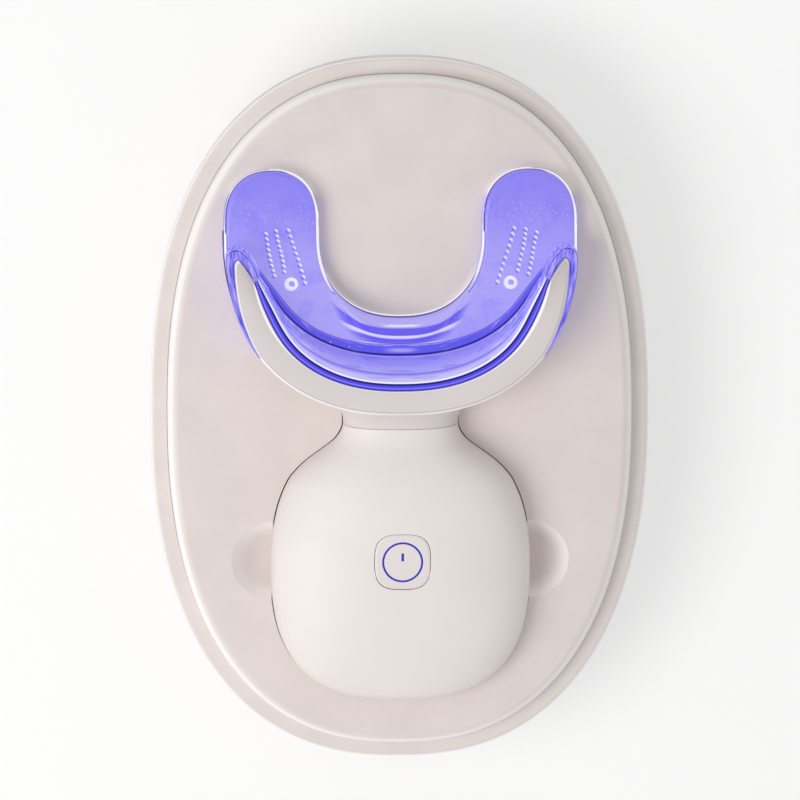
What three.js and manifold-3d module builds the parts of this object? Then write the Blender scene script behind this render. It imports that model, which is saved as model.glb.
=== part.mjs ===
// A wireless LED teeth whitening device lying face up in the nest of its oval charging case.
// Millimetres, +Z up. The origin is the middle of the underside, and +Y points to the mouthpiece.
import * as THREE from "three";
import { mergeVertices } from "three/addons/utils/BufferGeometryUtils.js";
import Module from "manifold-3d";

const wasm = await Module();
wasm.setup();

// Fits that many pieces share
const fitGap = 0.3; // between two pieces that are seated on each other
const nestGap = 0.4; // between the device and the nest it is lifted out of
const cutOverrun = 6; // how far a cut runs past the face it opens
const blendDepth = 0.4; // how far a joined form sinks into the one that carries it

// Handle: a pillow, widest at its middle, with a neck at the head end
const handleWidth = 48.4;
const handleLowerLength = 26.2; // from the widest place to the rounded end
const handleUpperLength = 24.4; // from the widest place to where the shoulders close
const handleThickness = 22;
const handlePower = 2.7; // how square the outline is
const shoulderPower = 2.5; // and how square its shoulders are
const handleSectionPower = 2.4; // how square the pillow is across
const handleWall = 1.8;
const shoulderBlendPower = 4; // how sharply the shoulders turn into the neck
const shoulderCrownPower = 3; // how softly the handle's top and bottom come down to the neck
const neckWidth = 21.5;
const neckThickness = 14;
const neckSeamOffset = 2.2; // from the shoulders' end to the seam between handle and head
const neckStubLength = 3.2; // from that seam to the front of the head
const neckFlare = 1.4; // how much wider the neck gets on each side where it meets the head

// Head and mouthpiece: curves round one centre, each a rounded arch
const headRadius = 33; // outside of the head and of the arms
const archPower = 2.3; // how square the arches are
const headHeight = 20.4;
const headWall = 1.5;
const headFloor = 1.8;
const headEdgeRound = 1.1;
const headTipRecess = 1.6; // how far the head steps in at its tips, where silicone covers it
const headStepRecess = 0.6; // and where that cover begins
const tipDrop = 3.6; // how much lower the head and the front wall are at their ends, above and below
const tipDropLength = 21; // the length over which they get lower
const armWidth = 17.7;
const archDepth = 17.5; // from the front of the head to the middle of the inner edge
const armStraight = 2; // from the arches' centre to where the arms' ends begin to round
const armEndLength = 10;
const biteThickness = 5;
const biteEdgeRound = 0.9;
const mouthHeight = 20; // over both walls
const wallFootDepth = 22.8; // front wall's foot on the bite plate, at the front
const wallFootRadius = 26.4; // and at the sides
const wallTopRadius = 27;
const wallEndLength = 1.3; // how far behind the arches' centre the front wall ends
const ridgeHeight = 2.5; // the low wall behind the front teeth
const ridgeRadius = 13.9;
const ridgeDepth = 21.2;
const ridgeSlope = 1.6;

// Light behind the mouthpiece
const windowThickness = 0.8;
const windowHeight = 12.4;
const ledDepth = 1;
const ledWidth = 2.8;
const ledHeight = 3.5;
const ledCount = 12;
const stripThickness = 0.4;
const stripHeight = 9;
const tailWidth = 5;

// Power button
const buttonWidth = 10.4;
const buttonLength = 10.2;
const buttonPower = 3.1; // how square the button is
const buttonGap = 0.25;
const buttonOffset = 2.1; // from the handle's widest place towards the head
const buttonRecess = 0.1; // under the handle's top
const buttonThickness = 2.4;
const buttonEdgeRound = 0.35;
const buttonFlange = 1; // how far its foot reaches under the shell, and how thick it is
const buttonTravel = 0.5;
const plungerRadius = 1.6;
const plungerLength = 2.3;
const plungerBoreDepth = 1.4;
const switchWidth = 6;
const switchHeight = 3.2;
const sealWidth = 1.1;
const sealThickness = 1;
const ringRadius = 3.8;
const ringLine = 0.33;
const ringDepth = 0.6;
const inlayGap = 0.05;
const barLength = 1.4;
const barWidth = 0.4;
const barOffset = 0.94; // from the ring's centre towards the head

// Inside the handle, from the floor up. The cell takes the height that the rest leaves.
const receiveCoilRadius = 10;
const receiveCoilWinding = 4.5; // from its bore to its rim
const receiveCoilThickness = 0.8;
const receiveFerriteThickness = 0.6;
const batteryMagnetGap = 0.6; // from the battery to the magnet at the handle's end
const batteryShoulderGap = 9.4; // and to where the shoulders close
const padWidth = 20;
const padLength = 22;
const padThickness = 1;
const bayGap = 0.9; // from the screws' bosses to the battery and the board between them
const boardEndGap = 9.7; // from the main board to the handle's end
const boardShoulderGap = 7.9; // and to where the shoulders close
const mainBoardThickness = 1.2;
const leadRadius = 0.5;
const leadSpread = 3; // of each of the coil's leads from the middle
const batteryLeadSpread = 6;
const magnetRadius = 3;
const magnetThickness = 2;
const magnetEndOffset = 7.6; // of the magnet at the handle's end from that end
const handleScrewInset = 7.2; // of the screws from the handle's widest place
const handleScrewY = 13; // on both sides of the widest place
const handleBossRadius = 3.1;
const handleScrewHead = 1.9;
const handleScrewShank = 1;
const handleScrewHeadHeight = 1.5;
const handleScrewLength = 8.6;
const handleScrewGrip = 3; // how far the screws reach into the top shell
const gasketWidth = 0.7;
const gasketHeight = 0.6;
const gasketGap = 0.12;
const spigotLength = 5.5;
const neckSealWidth = 0.9;
const neckSealLength = 1.4;
const neckSealOffset = 2.2; // from the neck's seam

// Charging case
const casePower = 2.38; // how square the oval is
const armEndMargin = 20.4; // from the arms' ends to the case's edge
const handleEndMargin = 12.5;
const headSideMargin = 13.65;
const partingReveal = 1.2; // how far the handle's seam stands over the tray
const trayRise = 4; // of the tray over the rim
const rimWidth = 3.1;
const rimLipDepth = 3;
const rimEdgeRound = 0.8;
const caseWall = 2.4;
const caseTuck = 16; // how far the side curves in from rim to underside
const trayWall = 1.6;
const trayPlate = 2;
const trayEdgeRound = 1.6;
const traySkirt = 3.5; // below the rim
const scoopRadius = 7.4; // finger scoop at the tray's surface
const scoopDepth = 3.6;
const footReveal = 0.8; // how far the foot pad stands out of the underside
const footThickness = 1.4;
const footMargin = 1.6;

// Inside the case, from the floor up
const boardPost = 2;
const boardPostRadius = 1.5;
const chargeBoardGap = 1.5; // from the bosses on both sides of it
const chargeBoardLength = 44;
const chargeBoardThickness = 1.6;
const socketWidth = 8.9;
const socketHeight = 3.2;
const socketLength = 7.4;
const socketOverhang = 4.9; // how far the socket stands out over its board
const portRecess = 1; // how deep the socket's mouth lies behind the wall's inside
const socketWall = 0.4;
const socketTongue = 0.8;
const portMargin = 0.35;
const socketHeadroom = 0.9; // from the socket's top to the coil's ferrite
const coilMagnetGap = 3; // from the charging coil to the magnet under the nest
const transmitCoilWinding = 5.6; // from its bore to its rim
const transmitCoilThickness = 1;
const transmitFerriteThickness = 0.8;
const caseScrewXShare = 0.52; // of the foot pad's half width
const caseScrewYShare = 0.74; // of its half length
const caseBossRadius = 3.6;
const casePostRadius = 3;
const caseScrewHead = 2.4;
const caseScrewShank = 1.3;
const caseScrewHeadHeight = 1.8;
const caseScrewLength = 10.5;
const caseBossHeight = 5;

// Heights, worked out from the underside up
const floorZ = footReveal + caseWall;
const chargeBoardZ = floorZ + boardPost;
const chargeBoardTopZ = chargeBoardZ + chargeBoardThickness;
const socketZ = chargeBoardTopZ;
const transmitFerriteZ = socketZ + socketHeight + socketHeadroom;
const transmitCoilZ = transmitFerriteZ + transmitFerriteThickness + fitGap;
const nestUndersideZ = transmitCoilZ + transmitCoilThickness + fitGap;
const nestFloorZ = nestUndersideZ + trayWall;
const midZ = nestFloorZ + fitGap + handleThickness / 2;
const trayTopZ = midZ - partingReveal;
const rimZ = trayTopZ - trayRise;
const biteTopZ = midZ + biteThickness / 2;
const biteBottomZ = midZ - biteThickness / 2;
const headTopZ = midZ + headHeight / 2;
const headBottomZ = midZ - headHeight / 2;
const mouthTopZ = midZ + mouthHeight / 2;
const mouthBottomZ = midZ - mouthHeight / 2;
const headNestZ = headBottomZ - fitGap;
const armNestZ = biteBottomZ - fitGap;

// Places along the case, worked out from the device that it holds
const handleLength = handleLowerLength + handleUpperLength;
const neckLength = neckSeamOffset + neckStubLength;
const deviceLength = handleLength + neckLength + headRadius + armStraight + armEndLength;
const caseHalfLength = (deviceLength + armEndMargin + handleEndMargin) / 2;
const caseHalfWidth = headRadius + headSideMargin;
const handleEndY = handleEndMargin - caseHalfLength;
const handleY = handleEndY + handleLowerLength;
const shoulderY = handleY + handleUpperLength;
const neckSeamY = shoulderY + neckSeamOffset;
const headFrontY = neckSeamY + neckStubLength;
const archY = headFrontY + headRadius;
const armRoundY = archY + armStraight;
const wallEndY = archY - wallEndLength;
const buttonY = handleY + buttonOffset;
const handleMagnetY = handleEndY + magnetEndOffset;
const transmitCoilRadius = handleY - handleMagnetY - magnetRadius - coilMagnetGap;

// Radii of the nested curves of the head, from the outside in
const headInnerRadius = headRadius - headWall;
const stripOuterRadius = headInnerRadius - fitGap;
const stripInnerRadius = stripOuterRadius - stripThickness;
const ledOuterRadius = stripInnerRadius - fitGap;
const ledInnerRadius = ledOuterRadius - ledDepth;
const windowOuterRadius = ledInnerRadius - fitGap;
const windowInnerRadius = windowOuterRadius - windowThickness;
const mouthOuterRadius = windowInnerRadius - fitGap;

// Steps along curves
const caseSteps = 44;
const archSteps = 28;
const sectionSteps = 22;
const roundSteps = 16;
const smallSteps = 10;
const scoopSteps = 20;
const endSteps = 10;
const wireSteps = 8;
const wireSides = 6;
const portSteps = 6;
const buttonSteps = 24;
const ringSteps = 28;
const edgeAngleShares = [0, 0.4, 0.75, 1];
const bowlAngleShares = [1, 0.8, 0.6, 0.4, 0.2, 0];
const lowerAngleShares = [0.955, 0.86, 0.74, 0.58, 0.4, 0.2, 0];
const upperLengthShares = [0.28, 0.5, 0.68, 0.8, 0.88, 0.94, 0.98, 1];
const flareShares = [0, 0.35, 0.7, 1];
const circlePower = 2;
const wallEndShares = [[0.5, 0.33], [-0.5, 0.33]]; // corners of the front wall's ends, of half its width
const weldReach = 0.0001; // corners nearer than this are one

// Where the arches' parts end, as angles from the front
const tipAngle = THREE.MathUtils.degToRad(83.5);
const tipInnerAngle = THREE.MathUtils.degToRad(75);
const coverAngle = THREE.MathUtils.degToRad(52);
const channelAngle = THREE.MathUtils.degToRad(72);
const stripAngle = THREE.MathUtils.degToRad(69);
const ledAngle = THREE.MathUtils.degToRad(64);
const tipRoomShare = 3; // how far the silicone's room goes on past the slanted tip, in gaps
const headingStep = THREE.MathUtils.degToRad(0.5);

const colours = {
  trayPlastic: "#dcd2cd",
  casePlastic: "#e2dad5",
  handlePlastic: "#eeece8",
  headPlastic: "#e0d8d4",
  silicone: "#9488f5",
  softWhite: "#e9e6e2",
  softGrey: "#8f9296",
  lightBlue: "#2a33d8",
  board: "#1f6b45",
  steel: "#b9bcc0",
  copper: "#b8703a",
  ferrite: "#3b3a3a",
  battery: "#9aa7b5",
  foam: "#4a4b50",
  clear: "#dfe6f5",
  led: "#4a57ff",
  redLead: "#b3322c",
  blackLead: "#26262a",
};

function material(colour, roughness, metalness = 0) {
  return new THREE.MeshStandardMaterial({ color: colour, roughness, metalness });
}

// Solids: the library joins and cuts, the shapes come from three.js

function welded(geometry) {
  const bare = geometry.clone();
  bare.deleteAttribute("normal");
  bare.deleteAttribute("uv");
  return mergeVertices(bare, weldReach);
}

function solid(geometry) {
  const merged = welded(geometry);
  const corners = merged.index.array;
  const kept = [];
  for (let at = 0; at < corners.length; at += 3) {
    const [a, b, c] = corners.slice(at, at + 3);
    if (a !== b && b !== c && c !== a) kept.push(a, b, c);
  }
  return new wasm.Manifold(
    new wasm.Mesh({
      numProp: 3,
      vertProperties: new Float32Array(merged.attributes.position.array),
      triVerts: new Uint32Array(kept),
    }),
  );
}

function geometryOf(made) {
  const mesh = made.getMesh();
  const corners = new Float32Array(mesh.vertProperties);
  const geometry = new THREE.BufferGeometry();
  geometry.setAttribute("position", new THREE.BufferAttribute(corners, 3));
  geometry.setIndex(new THREE.BufferAttribute(new Uint32Array(mesh.triVerts), 1));
  return geometry;
}

function joined(...solids) {
  return solids.reduce((whole, next) => whole.add(next));
}

function cut(whole, ...tools) {
  return tools.reduce((rest, tool) => rest.subtract(tool), whole);
}

function box(width, length, height, x, y, z) {
  const geometry = new THREE.BoxGeometry(width, length, height);
  return solid(geometry.translate(x, y, z + height / 2));
}

function disc(radius, height, x, y, z, steps = roundSteps) {
  const geometry = new THREE.CylinderGeometry(radius, radius, height, steps);
  return solid(geometry.rotateX(Math.PI / 2).translate(x, y, z + height / 2));
}

// A solid turned round the vertical through x, y. The profile lists [radius, height] and closes on itself.
function turned(profile, x, y, steps = roundSteps) {
  const points = profile.map(([radius, height]) => new THREE.Vector2(radius, height));
  points.push(points[0]);
  const geometry = new THREE.LatheGeometry(points, steps);
  return solid(geometry.rotateX(Math.PI / 2).translate(x, y, 0));
}

function ringSolid(outer, inner, height, x, y, z, steps = roundSteps) {
  return turned([[inner, z], [outer, z], [outer, z + height], [inner, z + height]], x, y, steps);
}

// A solid over an outline of [x, y] points, from one height to another.
function slab(outline, fromZ, toZ) {
  const shape = new THREE.Shape(outline.map(([x, y]) => new THREE.Vector2(x, y)));
  const geometry = new THREE.ExtrudeGeometry(shape, { depth: toZ - fromZ, bevelEnabled: false });
  return solid(geometry.translate(0, 0, fromZ));
}

// The triangles of a cap over one ring of points. The ring is seen along up or along +Y.
function capOf(ring, alongY, facesOn) {
  const seen = ({ x, y, z }) => (alongY ? new THREE.Vector2(z, x) : new THREE.Vector2(x, y));
  const faces = THREE.ShapeUtils.triangulateShape(ring.map(seen), []);
  return faces.flatMap(([a, b, c]) => (facesOn ? [a, b, c] : [a, c, b]));
}

// A closed solid through rings with the same count of points, anticlockwise round the way they follow.
function loft(rings, alongY = false) {
  const count = rings[0].length;
  const index = [];
  for (let level = 0; level + 1 < rings.length; level += 1) {
    for (let step = 0; step < count; step += 1) {
      const next = (step + 1) % count;
      const low = level * count;
      const high = low + count;
      index.push(low + step, low + next, high + next, low + step, high + next, high + step);
    }
  }
  const last = (rings.length - 1) * count;
  index.push(...capOf(rings[0], alongY, false));
  index.push(...capOf(rings[rings.length - 1], alongY, true).map((corner) => corner + last));
  const geometry = new THREE.BufferGeometry().setFromPoints(rings.flat());
  geometry.setIndex(index);
  return solid(geometry);
}

// Curves

function rounded(value, power) {
  return Math.sign(value) * Math.abs(value) ** (2 / power);
}

// How wide a rounded oval is, as a share, at a share of its length from the middle.
function ovalWidth(share, power) {
  return Math.max(0, 1 - Math.abs(share) ** power) ** (1 / power);
}

// The points of a whole oval, anticlockwise.
function oval(halfWidth, halfLength, power, steps, x = 0, y = 0) {
  const points = [];
  for (let step = 0; step < steps; step += 1) {
    const angle = (2 * Math.PI * step) / steps;
    points.push([
      x + halfWidth * rounded(Math.cos(angle), power),
      y + halfLength * rounded(Math.sin(angle), power),
    ]);
  }
  return points;
}

// One point of an arch, at an angle from its front: left is below zero, right above.
function archPoint(halfWidth, depth, angle) {
  const x = halfWidth * rounded(Math.sin(angle), archPower);
  return [x, archY - depth * rounded(Math.cos(angle), archPower)];
}

// The points of an arch from one angle to another. The depth and half width may follow the angle.
function arch(halfWidth, depth, from, to, steps = archSteps) {
  const points = [];
  for (let step = 0; step <= steps; step += 1) {
    const angle = from + ((to - from) * step) / steps;
    const wide = typeof halfWidth === "function" ? halfWidth(Math.abs(angle)) : halfWidth;
    const deep = typeof depth === "function" ? depth(Math.abs(angle)) : depth;
    points.push(archPoint(wide, deep, angle));
  }
  return points;
}

function raised(outline, z) {
  return outline.map(([x, y]) => new THREE.Vector3(x, y, z));
}

function mirrored(points) {
  return points.map(([x, y]) => [-x, y]);
}

// The steps of a rounded edge: how far each one is drawn in, and how far it lies from the face.
function roundEdge(radius) {
  return edgeAngleShares.map((share) => {
    const angle = (share * Math.PI) / 2;
    return { inset: radius * (1 - Math.sin(angle)), depth: radius * (1 - Math.cos(angle)) };
  });
}

// Handle and neck: a pillow swept along Y

// How far the shoulders are open, as a share, at a place between the widest one and the head.
function shoulderShare(y) {
  return ovalWidth(Math.min(1, (y - handleY) / handleUpperLength), shoulderPower);
}

function handleHalfWidth(y) {
  const shoulder = ((handleWidth / 2) * shoulderShare(y)) ** shoulderBlendPower;
  return (shoulder + (neckWidth / 2) ** shoulderBlendPower) ** (1 / shoulderBlendPower);
}

function handleHalfHeight(y) {
  const neck = (neckThickness / 2) ** shoulderCrownPower;
  const crown = ((handleThickness / 2) ** shoulderCrownPower - neck) * shoulderShare(y) ** shoulderCrownPower;
  return (crown + neck) ** (1 / shoulderCrownPower);
}

function lowerHalf(y, half) {
  return half * ovalWidth((handleY - y) / handleLowerLength, handlePower);
}

// Half the pillow's height inside its wall, at a place on it.
function innerHalfHeight(x, y) {
  const halfWidth = y < handleY ? lowerHalf(y, handleWidth / 2) : handleHalfWidth(y);
  const halfHeight = y < handleY ? lowerHalf(y, handleThickness / 2) : handleHalfHeight(y);
  return (halfHeight - handleWall) * ovalWidth(x / (halfWidth - handleWall), handleSectionPower);
}

// A section across the handle, anticlockwise round +Y.
function section(y, halfWidth, halfHeight) {
  const points = [];
  for (let step = 0; step < sectionSteps; step += 1) {
    const angle = (2 * Math.PI * step) / sectionSteps;
    const x = halfWidth * rounded(Math.sin(angle), handleSectionPower);
    const z = midZ + halfHeight * rounded(Math.cos(angle), handleSectionPower);
    points.push(new THREE.Vector3(x, y, z));
  }
  return points;
}

// The pillow grown by some amount on every side, from its rounded end to endY in the neck.
function pillow(grown, endY) {
  const widest = handleHalfWidth(handleY) + grown;
  const thickest = handleThickness / 2 + grown;
  const rings = lowerAngleShares.map((share) => {
    const angle = (share * Math.PI) / 2;
    const across = rounded(Math.cos(angle), handlePower);
    const along = rounded(Math.sin(angle), handlePower);
    return section(handleY - (handleLowerLength + grown) * along, widest * across, thickest * across);
  });
  upperLengthShares.forEach((share) => {
    const y = handleY + handleUpperLength * share;
    rings.push(section(y, handleHalfWidth(y) + grown, handleHalfHeight(y) + grown));
  });
  rings.push(section(endY, neckWidth / 2 + grown, neckThickness / 2 + grown));
  return loft(rings, true);
}

// The neck's tube grown by some amount, flared where it meets the head.
function neck(grown, fromY, toY) {
  const rings = flareShares.map((share) => {
    const y = fromY + (toY - fromY) * share;
    const flare = y > neckSeamY ? neckFlare * ((y - neckSeamY) / neckStubLength) ** 2 : 0;
    return section(y, neckWidth / 2 + flare + grown, neckThickness / 2 + grown);
  });
  return loft(rings, true);
}

// Heights inside the handle: the coil and its ferrite on the floor, the switch under the button
const buttonTopZ = midZ + handleThickness / 2 - buttonRecess;
const buttonFlangeTopZ = buttonTopZ - buttonThickness;
const buttonFlangeZ = buttonFlangeTopZ - buttonFlange;
const plungerTopZ = buttonFlangeZ - fitGap;
const plungerBottomZ = plungerTopZ - plungerLength;
const switchBoreZ = plungerBottomZ - buttonTravel - fitGap;
const switchZ = switchBoreZ + plungerBoreDepth - switchHeight;
const mainBoardTopZ = switchZ - fitGap;
const mainBoardZ = mainBoardTopZ - mainBoardThickness;
const padZ = mainBoardZ - fitGap - padThickness;
const receiveCoilZ = midZ - innerHalfHeight(receiveCoilRadius, handleY) + fitGap;
const receiveFerriteZ = receiveCoilZ + receiveCoilThickness + fitGap;
const batteryZ = receiveFerriteZ + receiveFerriteThickness + fitGap;
const batteryThickness = padZ - fitGap - batteryZ;
const deviceMagnetZ = midZ - innerHalfHeight(magnetRadius, handleMagnetY) + fitGap;

const handleScrewX = handleWidth / 2 - handleScrewInset;
const batteryWidth = 2 * (handleScrewX - handleBossRadius - bayGap);
const batteryBackY = handleMagnetY + magnetRadius + batteryMagnetGap;
const batteryFrontY = shoulderY - batteryShoulderGap;
const batteryLength = batteryFrontY - batteryBackY;
const batteryY = (batteryFrontY + batteryBackY) / 2;
const mainBoardWidth = batteryWidth;
const mainBoardBackY = handleEndY + boardEndGap;
const mainBoardFrontY = shoulderY - boardShoulderGap;
const mainBoardLength = mainBoardFrontY - mainBoardBackY;
const mainBoardY = (mainBoardFrontY + mainBoardBackY) / 2;
const handleScrewPlaces = [
  [-handleScrewX, handleY - handleScrewY],
  [handleScrewX, handleY - handleScrewY],
  [-handleScrewX, handleY + handleScrewY],
  [handleScrewX, handleY + handleScrewY],
];
const handleScrewZ = midZ + handleScrewGrip - handleScrewLength;

function buttonOutline(grown) {
  return oval(buttonWidth / 2 + grown, buttonLength / 2 + grown, buttonPower, buttonSteps, 0, buttonY);
}

// The outline of the handle at its seam, drawn in by some amount.
function seamOutline(inset) {
  const right = [];
  lowerAngleShares.slice(0, -1).forEach((share) => {
    const angle = (share * Math.PI) / 2;
    right.push([
      (handleWidth / 2 - inset) * rounded(Math.cos(angle), handlePower),
      handleY - (handleLowerLength - inset) * rounded(Math.sin(angle), handlePower),
    ]);
  });
  right.push([handleHalfWidth(handleY) - inset, handleY]);
  upperLengthShares.forEach((share) => {
    const y = handleY + handleUpperLength * share;
    right.push([handleHalfWidth(y) - inset, y]);
  });
  return right;
}

// The gasket's run: a strip along the seam of the shells, open at the neck.
function gasketOutline(grown) {
  const outerInset = (handleWall - gasketWidth) / 2 - grown;
  const innerInset = (handleWall + gasketWidth) / 2 + grown;
  const outer = seamOutline(outerInset);
  const inner = seamOutline(innerInset);
  return [...outer, ...inner.slice().reverse(), ...mirrored(inner), ...mirrored(outer).reverse()];
}

function handleShells() {
  const outside = pillow(0, neckSeamY - fitGap / 2);
  const inside = pillow(-handleWall, neckSeamY + cutOverrun);
  const size = 2 * (handleWidth + deviceLength);
  const above = box(size, size, size, 0, 0, midZ + fitGap / 2);
  const below = box(size, size, size, 0, 0, midZ - fitGap / 2 - size);
  const bosses = handleScrewPlaces.map(([x, y]) => {
    const boss = disc(handleBossRadius, handleThickness, x, y, midZ - handleThickness / 2);
    return boss.intersect(outside);
  });
  const studded = joined(outside.subtract(inside), ...bosses);
  const headCutZ = handleScrewZ + handleScrewHeadHeight + fitGap;
  const screwCuts = handleScrewPlaces.flatMap(([x, y]) => [
    disc(handleScrewHead + fitGap, handleThickness, x, y, headCutZ - handleThickness, smallSteps),
    disc(handleScrewShank + fitGap, handleScrewLength + fitGap, x, y, handleScrewZ, smallSteps),
  ]);
  const groove = slab(gasketOutline(gasketGap), midZ - gasketHeight - gasketGap, midZ);
  const buttonHole = slab(buttonOutline(buttonGap), midZ, midZ + handleThickness);
  const magnetBed = disc(magnetRadius + fitGap, cutOverrun, 0, handleMagnetY, deviceMagnetZ - fitGap);
  const top = cut(studded.intersect(above), ...screwCuts, buttonHole);
  const bottom = cut(studded.intersect(below), ...screwCuts, groove, magnetBed);
  return { top, bottom };
}

function handleSeal() {
  return slab(gasketOutline(0), midZ - gasketHeight, midZ);
}

// A screw from below, with a round drive in the underside of its head.
function screw(wide, shank, tall, length, x, y, z) {
  const profile = [
    [0, z + tall / 2],
    [shank / 2, z + tall / 2],
    [shank / 2, z],
    [wide, z],
    [wide, z + tall],
    [shank, z + tall],
    [shank, z + length],
    [0, z + length],
  ];
  return turned(profile, x, y, smallSteps);
}

// Head: a hollow crescent with a stub of the neck

// The head's outer radius, which steps in towards the tips where the silicone covers it.
function headOuterRadius(angle) {
  if (angle < coverAngle) return headRadius;
  const share = (angle - coverAngle) / (tipAngle - coverAngle);
  return headRadius - headStepRecess - fitGap - (headTipRecess - headStepRecess) * share;
}

function crescent(outerRadiusAt, innerRadius, outerAngle, innerAngle) {
  return [
    ...arch(outerRadiusAt, outerRadiusAt, -outerAngle, outerAngle),
    ...arch(innerRadius, innerRadius, innerAngle, -innerAngle),
  ];
}

// How much lower the head and the front wall are at a place, towards their ends.
function dropAt(y) {
  const share = (y - archY + tipDropLength) / tipDropLength;
  return tipDrop * THREE.MathUtils.clamp(share, 0, 1) ** 2;
}

// An outline on a face that is this far from the middle at the front, side 1 above it and side -1 below.
function dropped(outline, side, halfHeight) {
  return outline.map(([x, y]) => new THREE.Vector3(x, y, midZ + side * (halfHeight - dropAt(y))));
}

function headBody() {
  const rings = roundEdge(headEdgeRound).map(({ inset, depth }) => {
    const outerAt = (angle) => headOuterRadius(angle) - inset;
    const outline = crescent(outerAt, windowInnerRadius, tipAngle, tipInnerAngle);
    return { outline, halfHeight: headHeight / 2 - depth };
  });
  const lower = rings.map(({ outline, halfHeight }) => dropped(outline, -1, halfHeight));
  const upper = rings.map(({ outline, halfHeight }) => dropped(outline, 1, halfHeight)).reverse();
  return loft([...lower, ...upper]);
}

function headHousing() {
  const stub = neck(0, neckSeamY + fitGap / 2, headFrontY + headWall);
  const spigotEndY = neckSeamY - spigotLength;
  const spigotInset = handleWall + fitGap;
  const spigot = neck(-spigotInset, spigotEndY, headFrontY + headWall / 2);
  const bore = neck(-spigotInset - handleWall, spigotEndY - cutOverrun, headFrontY + 2 * headWall);
  const channelRadius = windowOuterRadius + fitGap;
  const channel = slab(
    crescent(() => headInnerRadius, channelRadius, channelAngle, channelAngle),
    headBottomZ + headFloor,
    headTopZ - headFloor,
  );
  const frontRadius = windowInnerRadius - cutOverrun;
  const mouth = slab(
    crescent(() => channelRadius + blendDepth, frontRadius, channelAngle, channelAngle),
    midZ - windowHeight / 2 - fitGap,
    midZ + windowHeight / 2 + fitGap,
  );
  return cut(joined(headBody(), stub, spigot), bore, channel, mouth, neckSeal(gasketGap));
}

// The ring seal that lies in a groove round the head's spigot inside the neck.
function neckSeal(grown) {
  const toY = neckSeamY - neckSealOffset + grown;
  const fromY = toY - neckSealLength - 2 * grown;
  const inset = handleWall + gasketGap;
  const outer = neck(grown - inset, fromY, toY);
  const inner = neck(-inset - neckSealWidth - grown, fromY - cutOverrun, toY + cutOverrun);
  return outer.subtract(inner);
}

function ledWindow() {
  return slab(
    crescent(() => windowOuterRadius, windowInnerRadius, stripAngle, stripAngle),
    midZ - windowHeight / 2,
    midZ + windowHeight / 2,
  );
}

// The curved strip that carries the LEDs, with its tail through the neck to the main board.
function ledStrip() {
  const strip = slab(
    crescent(() => stripOuterRadius, stripInnerRadius, stripAngle, stripAngle),
    midZ - stripHeight / 2,
    midZ + stripHeight / 2,
  );
  const fromY = mainBoardFrontY + fitGap;
  const toY = archY - stripInnerRadius - stripThickness / 2;
  const tailZ = mainBoardTopZ - stripThickness;
  const tail = box(tailWidth, toY - fromY, stripThickness, 0, (fromY + toY) / 2, tailZ);
  return strip.add(tail);
}

function ledPlace(number) {
  const angle = ledAngle * ((2 * number) / (ledCount - 1) - 1);
  const radius = (ledInnerRadius + ledOuterRadius) / 2;
  const here = archPoint(radius, radius, angle);
  const beyond = archPoint(radius, radius, angle + headingStep);
  const turn = Math.atan2(beyond[1] - here[1], beyond[0] - here[0]);
  return { x: here[0], y: here[1], turn };
}

function led() {
  return new THREE.BoxGeometry(ledWidth, ledDepth - inlayGap, ledHeight);
}

// Mouthpiece

// The U of the bite plate, drawn in by some amount on every side.
function biteOutline(inset) {
  const outer = headRadius - inset;
  const innerWide = headRadius - armWidth + inset;
  const innerDeep = headRadius - archDepth + inset;
  const endWide = armWidth / 2 - inset;
  const endLong = armEndLength - inset;
  const middle = headRadius - armWidth / 2;
  const end = [];
  for (let step = 0; step <= endSteps; step += 1) {
    const angle = (Math.PI * step) / endSteps;
    end.push([
      middle + endWide * rounded(Math.cos(angle), archPower),
      armRoundY + endLong * rounded(Math.sin(angle), archPower),
    ]);
  }
  const front = arch(outer, outer, -Math.PI / 2, Math.PI / 2);
  const back = arch(innerWide, innerDeep, Math.PI / 2, -Math.PI / 2);
  return [...front, ...end, ...back, ...mirrored(end).reverse()];
}

function bitePlate() {
  const edge = roundEdge(biteEdgeRound);
  const lower = edge.map(({ inset, depth }) => raised(biteOutline(inset), biteBottomZ + depth));
  const upper = edge.map(({ inset, depth }) => raised(biteOutline(inset), biteTopZ - depth));
  return loft([...lower, ...upper.reverse()]);
}

// The footprint of the front wall: outside arch, round ends, inside arch of its own.
function wallOutline(innerRadius, innerDepth) {
  const middle = (headRadius + innerRadius) / 2;
  const endWide = (headRadius - innerRadius) / 2;
  const outerAngle = Math.acos((wallEndLength / headRadius) ** (archPower / 2));
  const outer = arch(headRadius, headRadius, -outerAngle, outerAngle);
  const innerAngle = Math.acos((wallEndLength / innerRadius) ** (archPower / 2));
  const inner = arch(innerRadius, innerDepth, innerAngle, -innerAngle);
  const cap = wallEndShares.map(([across, along]) => [
    middle + endWide * across,
    wallEndY + endWide * along,
  ]);
  return [...outer, ...cap, ...inner, ...mirrored(cap).reverse()];
}

function frontWall() {
  const top = wallOutline(wallTopRadius, wallTopRadius);
  const foot = wallOutline(wallFootRadius, wallFootDepth);
  return loft([
    dropped(top, -1, mouthHeight / 2),
    raised(foot, biteBottomZ),
    raised(foot, biteTopZ),
    dropped(top, 1, mouthHeight / 2),
  ]);
}

// The low wall behind the front teeth, above the bite plate for side 1 and below it for side -1.
function ridge(side, grown = 0) {
  const footZ = midZ + side * (biteThickness / 2 - blendDepth);
  const topZ = midZ + side * (biteThickness / 2 + ridgeHeight + grown);
  const half = (inset) => arch(ridgeRadius - inset, ridgeDepth - inset, -Math.PI / 2, Math.PI / 2);
  const foot = half(-grown);
  const top = half(ridgeSlope - grown);
  const rings = [raised(foot, footZ), raised(top, topZ)];
  return loft(side > 0 ? rings : rings.reverse());
}

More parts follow.
